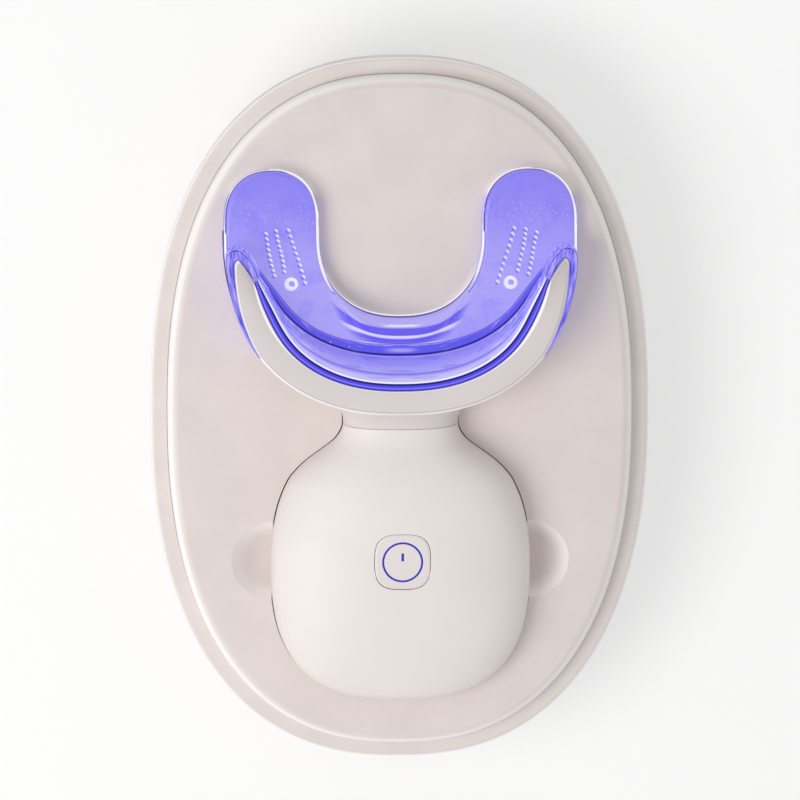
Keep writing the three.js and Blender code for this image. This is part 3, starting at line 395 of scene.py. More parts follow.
def worked(whole, *steps):
    """A mesh after exact joins and cuts; each step is an operation and its tool."""
    things = []
    for part in [whole] + [tool for _, tool in steps]:
        mesh = bpy.data.meshes.new("working")
        part.to_mesh(mesh)
        part.free()
        things.append(placed("working", mesh))
    for (operation, _), tool in zip(steps, things[1:]):
        change = things[0].modifiers.new("step", "BOOLEAN")
        change.operation = operation
        change.solver = "EXACT"
        change.object = tool
    bpy.context.view_layer.update()
    result = bmesh.new()
    result.from_object(things[0], bpy.context.evaluated_depsgraph_get())
    for thing in things:
        mesh = thing.data
        bpy.data.objects.remove(thing)
        bpy.data.meshes.remove(mesh)
    bmesh.ops.remove_doubles(result, verts=result.verts, dist=WELD)
    return result


def cut(whole, *tools):
    return worked(whole, *[("DIFFERENCE", tool) for tool in tools])


def joined(whole, *tools):
    return worked(whole, *[("UNION", tool) for tool in tools])


def eased(made, radius, chosen, segments=3):
    """Rounds the edges that are chosen."""
    picked = [edge for edge in made.edges if len(edge.link_faces) == 2 and chosen(edge)]
    bmesh.ops.bevel(
        made, geom=picked, offset=radius, offset_type="OFFSET", segments=segments, profile=0.5,
        affect="EDGES", material=-1, clamp_overlap=True,
    )
    return made


def steep(edge, least):
    return math.degrees(edge.calc_face_angle(0)) > least


def piece(name, made, body, stands_for, finish, weighted=False):
    """A finished piece in metres that rides on a body and stands for a node of the frame."""
    bmesh.ops.scale(made, vec=(MM, MM, MM), verts=made.verts)
    for face in made.faces:
        face.smooth = True
    mesh = bpy.data.meshes.new(name)
    made.to_mesh(mesh)
    made.free()
    mesh.set_sharp_from_angle(angle=math.radians(34))
    mesh.materials.append(finish)
    thing = placed(name, mesh)
    if weighted:
        even = thing.modifiers.new("even shading", "WEIGHTED_NORMAL")
        even.keep_sharp = True
        even.weight = 60
    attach(thing, body)
    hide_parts(stands_for)


# Materials

class Link:
    """A value in a node tree. Sums, products and powers of it add Math nodes."""

    def __init__(self, board, socket):
        self.board = board
        self.socket = socket

    def other(self, output):
        """Another output of the same node."""
        return Link(self.board, self.socket.node.outputs[output])

    def math(self, operation, *values):
        return self.board.add("ShaderNodeMath", {"operation": operation}, dict(enumerate([self, *values])))

    def __add__(self, other):
        return self.math("ADD", other)

    def __radd__(self, other):
        return self.math("ADD", other)

    def __sub__(self, other):
        return self.math("SUBTRACT", other)

    def __rsub__(self, other):
        return (self * -1) + other

    def __mul__(self, other):
        return self.math("MULTIPLY", other)

    def __rmul__(self, other):
        return self.math("MULTIPLY", other)

    def __truediv__(self, other):
        return self.math("DIVIDE", other)

    def __pow__(self, other):
        return self.math("POWER", other)

    def __abs__(self):
        return self.math("ABSOLUTE")

    def least(self, other):
        return self.math("MINIMUM", other)

    def most(self, other):
        return self.math("MAXIMUM", other)

    def step(self, low, high):
        """0 below low and 1 above high, with a smooth change between."""
        settings = {"interpolation_type": "SMOOTHSTEP", "clamp": True}
        return self.board.add("ShaderNodeMapRange", settings, {0: self, 1: low, 2: high, 3: 0.0, 4: 1.0})

    def fall(self, low, high):
        """1 below low and 0 above high."""
        return 1 - self.step(low, high)

    def band(self, low, high, soft):
        """1 between low and high, and 0 outside."""
        return self.step(low - soft, low + soft) * self.fall(high - soft, high + soft)


class Nodes:
    """A node tree that grows by one method."""

    def __init__(self, tree):
        self.tree = tree

    def add(self, kind, settings, inputs, output=0):
        """A node with its settings and inputs; gives one of its outputs."""
        node = self.tree.nodes.new(kind)
        for key, value in settings.items():
            setattr(node, key, value)
        for key, value in inputs.items():
            self.feed(node, key, value)
        return Link(self, node.outputs[output])

    def feed(self, node, key, value):
        if isinstance(value, Link):
            self.tree.links.new(value.socket, node.inputs[key])
        else:
            node.inputs[key].default_value = value


class Board(Nodes):
    """The nodes of one material round its surface shader."""

    def __init__(self, name, **numbers):
        self.material = bpy.data.materials.new(name)
        self.material.use_nodes = True
        super().__init__(self.material.node_tree)
        self.surface = self.tree.nodes["Principled BSDF"]
        for socket, value in numbers.items():
            self.surface.inputs[socket.replace("_", " ")].default_value = value
        self.where = self.add("ShaderNodeTexCoord", {}, {}, "Object")

    def split(self, vector):
        parts = self.add("ShaderNodeSeparateXYZ", {}, {0: vector})
        return [parts.other(axis) for axis in range(3)]

    def axes(self):
        """The object's own x, y and z, in millimetres."""
        return [value * 1000 for value in self.split(self.where)]

    def facing(self):
        """Which way the surface faces, along the object's x, y and z."""
        return self.split(self.where.other("Normal"))

    def edges(self):
        """1 on the small roundings of an upward face, and 0 on faces and walls."""
        return abs(self.facing()[2]).band(0.30, 0.80, 0.12)

    def grain(self, size, detail=2.0, roughness=0.5, where=None, distortion=0.0):
        """Cloudy noise whose marks are about so many millimetres across."""
        inputs = {
            "Vector": where or self.where, "Scale": 1000 / size, "Detail": detail,
            "Roughness": roughness, "Distortion": distortion,
        }
        return self.add("ShaderNodeTexNoise", {}, inputs)

    def cells(self, size, feature="F1"):
        """Distances to scattered places, or to the lines between them."""
        inputs = {"Vector": self.where, "Scale": 1000 / size}
        return self.add("ShaderNodeTexVoronoi", {"feature": feature}, inputs, "Distance")

    def stretched(self, x=1.0, y=1.0, z=1.0):
        """The object's own place with its axes scaled."""
        return self.add("ShaderNodeMapping", {}, {"Vector": self.where, "Scale": (x, y, z)})

    def tint(self, low, high, share):
        """A colour between two others."""
        inputs = {0: share, 6: self.paint(low), 7: self.paint(high)}
        return self.add("ShaderNodeMix", {"data_type": "RGBA"}, inputs, 2)

    def layered(self, colour, *layers):
        """A colour under layers of others, each with the share that it covers."""
        for tone, share in layers:
            colour = self.tint(colour, tone, share)
        return colour

    @staticmethod
    def paint(colour):
        return colour if isinstance(colour, Link) else colour_of(colour)

    def relief(self, height, depth, strength=1.0, under=None):
        """Bumps of a height between 0 and 1 and a depth in millimetres."""
        inputs = {"Height": height, "Distance": depth * MM, "Strength": strength}
        if under:
            inputs["Normal"] = under
        return self.add("ShaderNodeBump", {}, inputs)

    def dressed(self, colour, roughness, bumps=None, **others):
        """The finished material, with what changes over its surface."""
        self.feed(self.surface, "Base Color", colour)
        self.feed(self.surface, "Roughness", roughness)
        if bumps:
            self.feed(self.surface, "Normal", bumps)
        for socket, value in others.items():
            self.feed(self.surface, socket.replace("_", " "), value)
        return self.material


def colour_of(colour):
    """A colour given as three numbers up to 255, as the shader wants it."""
    def plain(value):
        share = value / 255
        return share / 12.92 if share <= 0.04045 else ((share + 0.055) / 1.055) ** 2.4
    return (*[plain(value) for value in colour], 1.0)


def shaded(colour, share):
    return [min(255, value * share) for value in colour]


def arch_share(side, back, wide, deep):
    """How far out a place lies as a share of an arch: 1 on the arch itself."""
    return ((side / wide) ** ARCH_POWER + (back / deep) ** ARCH_POWER) ** (1 / ARCH_POWER)


def moulded(name, colour, roughness, grain_size, grain_depth, edge, rim=None, **numbers):
    """Moulded plastic with a fine eroded grain, a faint mottle, a painted highlight on its edge roundings
    and, with rim given, a painted highlight line on its outer fillet.
    """
    board = Board(name, **numbers)
    mottle = board.grain(9, 3)
    fine = board.grain(grain_size, 2, 0.6)
    tone = board.tint(shaded(colour, 0.98), colour, mottle.step(0.3, 0.7))
    tone = board.tint(tone, shaded(colour, 0.94), fine.step(0.55, 0.8) * 0.5)
    # painted highlight: the small edge roundings are tinted lighter, by edge
    light = board.edges() * edge
    # painted highlight: a pale line on the fillet round the outline that rim gives
    if rim:
        x, y, _ = board.axes()
        outside = (abs(x) / rim[0]) ** CASE_POWER + (abs(y) / rim[1]) ** CASE_POWER
        level = abs(board.facing()[2])
        light = light.most(outside.step(0.88, 0.92) * level.fall(0.55, 0.99) * 0.9)
    bumps = board.relief(fine, grain_depth, 0.6, board.relief(mottle, 0.006, 0.5))
    return board.dressed(board.tint(tone, (250, 247, 245), light), roughness + (fine - 0.5) * 0.12, bumps)


def polished(name, colour, roughness, edge=0.0, line=0.0, **numbers):
    """Satin moulded plastic with a trace of flow in its surface, a painted highlight on its edge roundings
    and, with line given, a fine painted shade line where an edge rolls off and a painted highlight line along
    the head's inner edge.
    """
    board = Board(name, **numbers)
    flow = board.grain(5, 1)
    mottle = board.grain(16, 2)
    specks = board.grain(0.35, 1)
    tone = board.tint(shaded(colour, 0.985), colour, mottle.step(0.3, 0.7))
    # painted highlight: the small edge roundings are tinted lighter, by edge
    light = board.edges() * edge
    if line:
        level = abs(board.facing()[2])
        x, y, _ = board.axes()
        beyond_neck = y.step(1.6, 1.9)
        side, back = abs(x).most(0.001), (ARCH_Y - y).most(0.001)
        from_inside = arch_share(side, back, 1, 1) - (HEAD_INNER - SILICONE_GAP)
        # painted highlight: a pale line on the rounding along the head's inner edge
        lip = from_inside.fall(0.24, 0.34) * level.step(0.3, 0.6)
        # painted shade: a fine deeper line where the surface starts to roll off
        tone = board.tint(tone, shaded(colour, 0.72), level.band(0.90, 0.975, 0.02) * beyond_neck * line)
        light = (light * beyond_neck + lip).least(1.0)
    bumps = board.relief(flow, 0.004, 0.5, board.relief(specks, 0.0006, 0.4))
    return board.dressed(board.tint(tone, (252, 250, 249), light), roughness + (specks - 0.5) * 0.05, bumps)


def rubber(name, colour):
    board = Board(name, Specular_IOR_Level=0.35)
    fine = board.grain(0.3, 3, 0.6)
    tone = board.tint(shaded(colour, 0.9), colour, board.grain(4).step(0.3, 0.7))
    return board.dressed(tone, 0.72 + (fine - 0.5) * 0.2, board.relief(fine, 0.02, 0.7))


def metal(name, colour, roughness, run):
    """Metal with fine marks drawn along one way."""
    board = Board(name, Metallic=1.0)
    marks = board.grain(0.4, 3, 0.6, board.stretched(*run))
    tone = board.tint(shaded(colour, 0.88), colour, marks)
    return board.dressed(tone, roughness + (marks - 0.5) * 0.2, board.relief(marks, 0.006, 0.5))


def circuit(name):
    """A green circuit board with its tracks under the lacquer and bright pads."""
    board = Board(name, Coat_Weight=0.4, Coat_Roughness=0.2)
    tracks = board.cells(2.1, "DISTANCE_TO_EDGE").step(0.05, 0.09)
    pads = board.cells(2.6).fall(0.13, 0.16)
    green = board.tint((44, 128, 86), (24, 92, 60), tracks)
    weave = board.grain(0.25, 1, where=board.stretched(1, 6, 1))
    bumps = board.relief(tracks + pads, 0.03, 0.6, board.relief(weave, 0.004, 0.4))
    tone = board.tint(green, (205, 176, 108), pads)
    return board.dressed(tone, 0.42 + weave * 0.1, bumps, Metallic=pads * 0.9)


def wound(name, centre_y):
    """Enamelled copper wire wound flat round the handle's middle."""
    board = Board(name, Metallic=1.0)
    x, y, _ = board.axes()
    out = (x * x + (y - centre_y) * (y - centre_y)) ** 0.5
    turn = (out * 14.0).math("SINE") * 0.5 + 0.5
    tone = board.tint((150, 82, 44), (214, 132, 78), turn * 0.7 + board.grain(1.5, 2) * 0.3)
    return board.dressed(tone, 0.3 + (1 - turn) * 0.2, board.relief(turn, 0.08, 0.8))


def dusty(name, colour, size, depth, roughness):
    board = Board(name)
    fine = board.grain(size, 4, 0.65)
    tone = board.tint(shaded(colour, 0.75), shaded(colour, 1.12), fine)
    return board.dressed(tone, roughness + (fine - 0.5) * 0.15, board.relief(fine, depth, 0.7))


def foil(name):
    """The wrinkled pouch of the lithium cell."""
    board = Board(name, Metallic=0.75)
    folds = board.grain(7, 4, 0.6, distortion=0.6)
    bumps = board.relief(folds, 0.25, 0.7, board.relief(board.grain(0.5, 2), 0.01, 0.5))
    return board.dressed(board.tint((150, 158, 168), (196, 202, 208), folds), 0.28 + folds * 0.18, bumps)


def insulation(name, colour):
    board = Board(name, Coat_Weight=0.2)
    fine = board.grain(0.5, 2)
    tone = board.tint(shaded(colour, 0.85), colour, fine)
    return board.dressed(tone, 0.38 + fine * 0.12, board.relief(fine, 0.008, 0.5))


def clear_cover(name):
    board = Board(name, Transmission_Weight=0.85, IOR=1.49)
    fine = board.grain(0.6, 2)
    tone = board.tint((214, 224, 250), (240, 244, 255), fine)
    return board.dressed(tone, 0.06 + fine * 0.08, board.relief(fine, 0.003, 0.4))


def lens(name):
    """The clear dome of an LED that glows violet blue."""
    board = Board(name, Coat_Weight=0.6, Emission_Strength=1.0)
    fine = board.grain(0.8, 2)
    glow = board.tint((60, 70, 255), (150, 160, 255), fine.step(0.35, 0.65))
    tone = board.tint((90, 90, 220), (160, 160, 240), fine)
    return board.dressed(tone, 0.15 + fine * 0.1, Emission_Color=glow)


def lit_mark(name):
    """The blue light line of the button."""
    board = Board(name, Emission_Strength=0.4)
    fine = board.grain(0.4, 2)
    glow = board.tint((14, 20, 150), (30, 40, 200), fine.step(0.3, 0.7))
    tone = board.tint((20, 28, 140), (28, 38, 165), fine)
    return board.dressed(tone, 0.3 + fine * 0.1, board.relief(fine, 0.004, 0.4), Emission_Color=glow)


class SiliconeMap:
    """Where a place on the mouthpiece lies: measures in millimetres and masks from 0 to 1."""

    def __init__(self, board):
        x, y, z = board.axes()
        self.x, self.y, self.z = x, y, z
        self.lean, self.ahead, level = board.facing()
        self.level = abs(level)
        self.side, self.back = abs(x).most(0.001), (ARCH_Y - y).most(0.001)
        self.radius = self.out(1, 1)
        turn = (self.side / self.radius).least(1.0) ** (ARCH_POWER / 2)
        self.angle = turn.math("ARCSINE") * math.degrees(1)
        self.height = abs(z - MID_Z) - BITE_HALF
        self.specks = board.grain(0.22, 1)
        drawn_out = {0: self.radius, 1: self.angle * 0.035, 2: self.height * 0.35}
        along = board.add("ShaderNodeCombineXYZ", {}, drawn_out)
        stripes = {"Vector": along, "Scale": 1.9, "Detail": 2.0, "Roughness": 0.6}
        self.streaks = board.add("ShaderNodeTexNoise", {}, stripes)
        self.measure_plate()
        self.measure_wall()

    def out(self, wide, deep):
        return arch_share(self.side, self.back, wide, deep)

    def measure_plate(self):
        """From the tongue's side of the bite plate to the foot of the wall."""
        from_tongue = ((self.out(*BITE_INNER) - 1) * BITE_INNER[0]).most(0.0)
        bent = (self.angle - FOOT_BEND_DEGREES).most(0.0) ** 2 * FOOT_BEND + 1
        self.past_foot = (bent - self.out(*WALL_FOOT)) * 24
        self.from_wall = self.past_foot.most(0.0)
        self.across = from_tongue / (from_tongue + self.from_wall).most(0.01)
        self.on_ridge = self.out(*RIDGE).fall(0.98, 1.1)
        self.low = self.height.fall(0.02, 0.06)
        self.flat = self.height.fall(0.05, 0.35) * self.y.fall(27.0, 29.0)
        self.groove_width = 2.1 - self.side * 0.05
        before = (self.from_wall - self.groove_width).fall(-0.25, 0.25)
        self.groove = self.flat * before * self.past_foot.step(-0.3, -0.1)

    def measure_wall(self):
        """Across the wall's top, from the head to its face."""
        self.wall = self.height.step(0.2, 0.7) * self.radius.step(21.2, 22.4)
        bell = (((self.angle - SWELL_DEGREES) / SWELL_SPREAD) ** 2 * -1).math("EXPONENT")
        strip = WALL_TOP_WIDTH - (self.angle - WALL_BEND_DEGREES).most(0.0) ** 2 * WALL_BEND
        self.gap = (HEAD_INNER - SILICONE_GAP - bell * SWELL - self.radius) / strip.most(0.5)
        round_tip = self.angle.step(77, 79)
        self.top = self.height.step(2.5, 4.0) * self.gap.band(-0.2, 1.03, 0.03) * (1 - round_tip)
        self.nose = (self.radius.step(28.2, 28.5) + round_tip).least(1.0) * self.height.step(0.3, 1.0)


def plate_colour(board, at):
    """The bite plate: deeper arms, the low ridge in lines of painted highlight and painted shade, the groove
    along the wall's foot in painted shade with painted light streaks, and a painted shade line at the wall's
    foot.
    """
    cloud = board.grain(6, 3, 0.6)
    pebbles = board.cells(0.85).fall(0.16, 0.30)
    ridge, across, from_wall = at.on_ridge, at.across, at.from_wall
    groove_shade_line = from_wall.band(at.groove_width + 0.02, at.groove_width + 0.2, 0.06)
    return board.layered(
        board.tint((142, 132, 243), (172, 163, 247), at.y.fall(25, 46)),
        ((128, 117, 242), cloud.step(0.45, 0.75) * 0.45),
        ((190, 182, 253), pebbles * at.y.band(36, 41, 1.5) * 0.45),
        ((116, 105, 238), at.specks.step(0.6, 0.75) * 0.35),
        # painted highlights and painted shade lines in bands across the low ridge
        ((182, 174, 248), ridge * across.band(0.02, 0.17, 0.02) * 0.9),
        ((40, 28, 190), ridge * across.band(0.345, 0.37, 0.008) * 0.9),
        ((96, 86, 238), ridge * across.band(0.19, 0.35, 0.02) * 0.95),
        ((232, 229, 255), ridge * across.band(0.39, 0.47, 0.015) * 0.85),
        ((90, 80, 236), ridge * across.band(0.50, 0.62, 0.02) * 0.9),
        ((48, 36, 196), ridge * across.band(0.63, 0.665, 0.01) * 0.9),
        ((220, 216, 255), ridge * across.band(0.69, 0.74, 0.01) * 0.8),
        # painted shade in the groove and a painted shade line along its edge, with painted light streaks in
        # it
        ((78, 70, 232), at.groove * 0.9),
        ((44, 34, 190), at.flat * groove_shade_line * 0.7),
        ((186, 180, 252), at.groove * at.streaks.step(0.56, 0.66) * 0.5),
        # painted shade line where the wall's foot meets the plate
        ((12, 4, 130), at.flat * at.past_foot.band(-0.3, 0.19, 0.07) * 0.95),
    )


def wall_colour(board, at, colour):
    """The wall: its face in bands of painted light and painted shade with painted glints, its top between two
    painted shade lines with a painted highlight at its inner edge, and the sleeve round the head's tips with
    painted shade on its slopes.
    """
    height, gap, top, streaks = at.height, at.gap, at.top, at.streaks
    ends = at.side.step(15, 23)
    face = board.layered(
        # painted light: the face is lighter towards its top, with a painted shade line at its bend, painted
        # glints and painted shade near its foot
        board.tint((156, 147, 247), (174, 167, 249), height.step(1.6, 3.4)),
        ((206, 200, 251), height.step(4.9, 6.0)),
        ((118, 108, 236), height.band(4.4, 4.8, 0.15) * 0.8),
        ((222, 218, 255), at.specks.step(0.62, 0.72) * height.fall(3.0, 4.5) * 0.4),
        ((138, 128, 242), height.fall(0.5, 1.9) * 0.7),
        ((246, 244, 255), streaks.step(0.56, 0.64) * ends * 0.8),
        ((64, 54, 214), streaks.fall(0.34, 0.42) * (0.25 + ends * 0.5)),
    )
    sleeve = board.layered(
        board.tint((126, 117, 242), (176, 169, 252), streaks.step(0.42, 0.62)),
        ((56, 46, 206), streaks.fall(0.36, 0.42) * 0.7),
        # painted shade where the sleeve's surface slopes away
        ((16, 8, 135), at.level.band(0.15, 0.66, 0.06) * 0.95),
    )
    return board.layered(
        colour,
        (face, at.wall),
        ((74, 65, 228), top),
        # a painted pale line, painted shade lines beside the head and along the rounding, and a painted
        # highlight at the top's inner edge
        ((132, 122, 250), top * gap.band(0.18, 0.36, 0.04) * 0.8),
        ((60, 48, 190), top * gap.fall(0.08, 0.16)),
        ((6, 0, 112), top * gap.band(0.62, 0.83, 0.02)),
        ((250, 249, 255), top * gap.step(0.85, 0.88)),
        (sleeve, at.nose),
    )


def rim_colour(board, at, colour):
    """The bite plate's rim: painted light on its rounding, a painted shade line and a painted highlight line
    on the rounding, and on its upright sides a painted highlight low down under a painted shade line.
    """
    light_side = at.lean.step(0.15, 0.5)
    to_tongue = at.ahead.step(0.25, 0.5)
    facing_out = at.ahead.step(0.3, 0.5)
    tip = at.y.step(ARCH_Y + 0.1, ARCH_Y + 0.9)
    not_tip = 1 - tip
    rise = at.z - MID_Z + 1.7
    reach = abs((abs(at.x + rise * 0.04) - ARM_MIDDLE) / ARM_HALF_WIDTH) ** ARCH_POWER
    reach = reach + ((at.y - rise * 0.213 - ARM_ROUND_Y) / ARM_END).most(0.0) ** ARCH_POWER
    edge = (1 - reach ** (1 / ARCH_POWER)) * ARM_HALF_WIDTH
    open_rim = at.low * (1 - at.wall) * (1 - at.groove)
    # painted light: the rounding of the open rim is tinted lighter
    band = open_rim * (at.level.fall(0.93, 0.96) * not_tip + edge.fall(0.36, 0.46) * tip)
    above = to_tongue * at.z.step(TRAY_Z + 2.75, TRAY_Z + 2.9)
    # painted shade line on the rounding, kept off the side that faces +x
    rim_shade_line = at.level.band(0.88, 0.945, 0.015) * (1 - to_tongue) * not_tip
    rim_shade_line = (rim_shade_line + edge.band(0.31, 0.55, 0.03) * tip) * (1 - light_side)
    rounding = at.height.step(-1.15, -0.95)
    reaches = rounding * (1 - facing_out) + at.z.step(MID_Z - 2.2, MID_Z - 2.0) * facing_out
    # painted highlight line on the rounding
    rim_highlight_line = (at.level - light_side * 0.2).fall(0.68, 0.74) * (1 - to_tongue) * not_tip * rounding
    rim_highlight_line = rim_highlight_line + (edge - light_side * 0.3).fall(0.24, 0.28) * tip * reaches
    # on the upright sides: a painted highlight line low down and a painted shade line above it
    upright = band * at.level.fall(0.15, 0.3) * to_tongue * not_tip
    return board.layered(
        colour,
        ((184, 176, 250), band * (1 - above * 0.75) * 0.85),
        ((36, 24, 160), open_rim * rim_shade_line * 0.9),
        ((252, 251, 255), band * rim_highlight_line),
        ((16, 8, 140), upright * at.z.band(TRAY_Z + 1.15, TRAY_Z + 2.75, 0.08)),
        ((252, 251, 255), upright * at.z.band(TRAY_Z - 0.2, TRAY_Z + 1.05, 0.08)),
    )


def glint_colour(board, at, colour):
    """Painted highlights and painted shade on the grip bumps, a painted highlight ring on the round marks,
    and painted glints and a painted pale patch in the wet-looking surface.
    """
    grip = at.height.step(0.01, 0.06) * (1 - at.on_ridge) * at.radius.fall(27.5, 28.5)
    grip = grip * (1 - at.wall) * at.y.step(24.2, 24.6)
    mark = ((at.side - MARK[0]) ** 2 + (at.y - MARK[1]) ** 2) ** 0.5
    sparks = board.cells(1.5).fall(0.05, 0.11) * board.cells(0.9).fall(0.35, 0.6)
    glow = at.from_wall.band(0.55, 1.25, 0.35) * at.side.fall(0.5, 4.0)
    glinting = (at.groove + at.on_ridge * at.across.band(0.05, 0.2, 0.03)).least(1.0)
    shine = at.streaks.step(0.47, 0.55) * at.side.fall(2.0, 6.5)
    shine = shine * at.on_ridge * at.across.band(0.11, 0.16, 0.02)
    return board.layered(
        colour,
        # painted highlight on the side of each bump that faces +x and +y, painted shade on the side away
        ((248, 246, 255), grip * (at.lean + at.ahead).step(0.05, 0.45) * 0.9),
        ((84, 73, 226), grip * (at.lean * -1 - at.ahead).step(0.1, 0.5) * 0.7),
        # painted highlight ring on each round mark, a painted pale patch in the groove's middle, and painted
        # glints
        ((252, 250, 255), mark.band(0.6, 1.28, 0.1) * at.height.band(-0.2, 0.8, 0.1) * 0.75),
        ((190, 184, 253), at.groove * glow * 0.7),
        ((244, 243, 255), shine * 0.8),
        ((252, 252, 255), sparks * glinting),
    )


def lit_silicone(name):
    """Soft clear silicone whose violet blue glow from the LEDs behind it is painted in as emission of its own
    painted colour: flat arms, deep grooves, bright painted rims.
    """
    board = Board(name, Emission_Strength=1.0, Specular_IOR_Level=0.3, Coat_Weight=0.15, Coat_Roughness=0.06)
    at = SiliconeMap(board)
    colour = plate_colour(board, at)
    for layer in (wall_colour, rim_colour, glint_colour):
        colour = layer(board, at, colour)
    fine = board.grain(0.45, 3, 0.65)
    black = (0, 0, 0)
    return board.dressed(
        board.tint(black, colour, 0.35), 0.22 + fine * 0.12, board.relief(fine, 0.012, 0.4),
        # painted glow: two thirds of the painted colour, with its painted highlights and shade, is given out
        # as emission
        Emission_Color=board.tint(black, colour, 0.66),
    )


tray_plastic = moulded(
    "tray_plastic", (224, 214, 210), 0.55, 0.28, 0.012, 0.7,
    rim=(CASE_HALF_WIDTH - RIM_WIDTH, CASE_HALF_LENGTH - RIM_WIDTH), Specular_IOR_Level=0.4,
)
case_plastic = moulded("case_plastic", (224, 215, 211), 0.45, 0.35, 0.006, 0.8)
handle_plastic = polished("handle_plastic", (233, 226, 223), 0.5, Coat_Weight=0.06, Coat_Roughness=0.4)
button_plastic = polished("button_plastic", (229, 221, 219), 0.5, 0.8, Coat_Weight=0.05, Coat_Roughness=0.4)
head_plastic = polished(
    "head_plastic", (218, 210, 209), 0.45, 0.9, 0.35, Coat_Weight=0.05, Coat_Roughness=0.4
)
silicone = lit_silicone("lit_silicone")
grey_rubber = rubber("grey_rubber", (126, 129, 133))
white_rubber = rubber("white_rubber", (226, 223, 219))
board_green = circuit("board_green")
steel = metal("steel", (190, 192, 196), 0.3, (1.0, 20.0, 1.0))
nickel = metal("nickel", (205, 206, 208), 0.22, (1.0, 1.0, 1.0))
copper_winding = wound("copper_winding", HANDLE_Y)
copper_wire = metal("copper_wire", (206, 128, 78), 0.3, (1.0, 1.0, 12.0))
ferrite = dusty("ferrite", (60, 59, 60), 0.4, 0.03, 0.6)
cell_foil = foil("cell_foil")
foam = dusty("foam", (78, 80, 86), 0.5, 0.15, 0.9)
red_cover = insulation("red_cover", (190, 44, 38))
black_cover = insulation("black_cover", (36, 36, 40))
window = clear_cover("window")
led_lens = lens("led_lens")
power_light = lit_mark("power_light")
black_plastic = insulation("black_plastic", (40, 40, 42))


# Handle

def half_width_at(y):
    """Half the handle's width: a smooth curve through its side's places, level at both ends."""
    places = [SHOULDER_SIDE[0], *SHOULDER_SIDE, SHOULDER_SIDE[-1]]
    y = min(max(y, places[0][0]), places[-1][0])
    for before, first, last, after in zip(places, places[1:], places[2:], places[3:]):
        if y <= last[0]:
            run = last[0] - first[0]
            share = (y - first[0]) / run
            leaving = (last[1] - before[1]) / (last[0] - before[0]) * run if before is not first else 0.0
            reaching = (after[1] - first[1]) / (after[0] - first[0]) * run if after is not last else 0.0
            square, cube = share * share, share ** 3
            return (
                (2 * cube - 3 * square + 1) * first[1] + (cube - 2 * square + share) * leaving
                + (3 * square - 2 * cube) * last[1] + (cube - square) * reaching
            )
    return places[-1][1]


def half_height_at(y):
    share = (half_width_at(y) - NECK_HALF_WIDTH) / (SHOULDER_SIDE[0][1] - NECK_HALF_WIDTH)
    return NECK_HALF_HEIGHT + (HANDLE_THICKNESS / 2 - NECK_HALF_HEIGHT) * share


def handle_stations(grown=0.0, end_y=NECK_SEAM_Y - NECK_GAP):
    """Places along the handle with its half width and half height there, from the round end to the neck."""
    stations = []
    for step in range(34):
        angle = QUARTER * (1 - step / 34)
        across = rounded(math.cos(angle), HANDLE_POWER)
        y = HANDLE_Y - (HANDLE_LOWER + grown) * rounded(math.sin(angle), HANDLE_POWER)
        wide, tall = half_width_at(HANDLE_Y) + grown, HANDLE_THICKNESS / 2 + grown
        stations.append((y, wide * across, tall * across))
    for step in range(53):
        y = HANDLE_Y + (end_y - HANDLE_Y) * step / 52
        stations.append((y, half_width_at(y) + grown, half_height_at(y) + grown))
    return stations


def half_section(y, half_width, half_height, side, lift, steps=64):
    """Half of a section across the handle, over the top for side 1 and under it for side -1."""
    points = []
    for step in range(steps + 1):
        angle = math.pi * (step / steps - 0.5)
        x = half_width * rounded(math.sin(angle), SECTION_POWER)
        z = max(lift, half_height * rounded(math.cos(angle), SECTION_POWER))
        points.append((x, y, MID_Z + side * z))
    return points


def whole_section(y, half_width, half_height):
    over, under = [half_section(y, half_width, half_height, side, 0.0, 40) for side in (1, -1)]
    return over + under[-2:0:-1]


def crown_height(x, y):
    """Height of the handle's top over a place."""
    if y < HANDLE_Y:
        share = oval_width((HANDLE_Y - y) / HANDLE_LOWER, HANDLE_POWER)
        wide, tall = HANDLE_WIDTH / 2 * share, HANDLE_THICKNESS / 2 * share
    else:
        wide, tall = half_width_at(y), half_height_at(y)
    return MID_Z + tall * oval_width(x / wide, SECTION_POWER)


def pillow(grown, end_y):
    """The handle as one solid, grown on every side."""
    return capped([whole_section(*station) for station in handle_stations(grown, end_y)])


def button_outline(grown, angle):
    """How far the button's outline lies from its middle, in some direction."""
    wide, long = [abs(part) / (BUTTON_HALF + grown) for part in (math.cos(angle), math.sin(angle))]
    return (wide ** BUTTON_POWER + long ** BUTTON_POWER) ** (-1 / BUTTON_POWER)


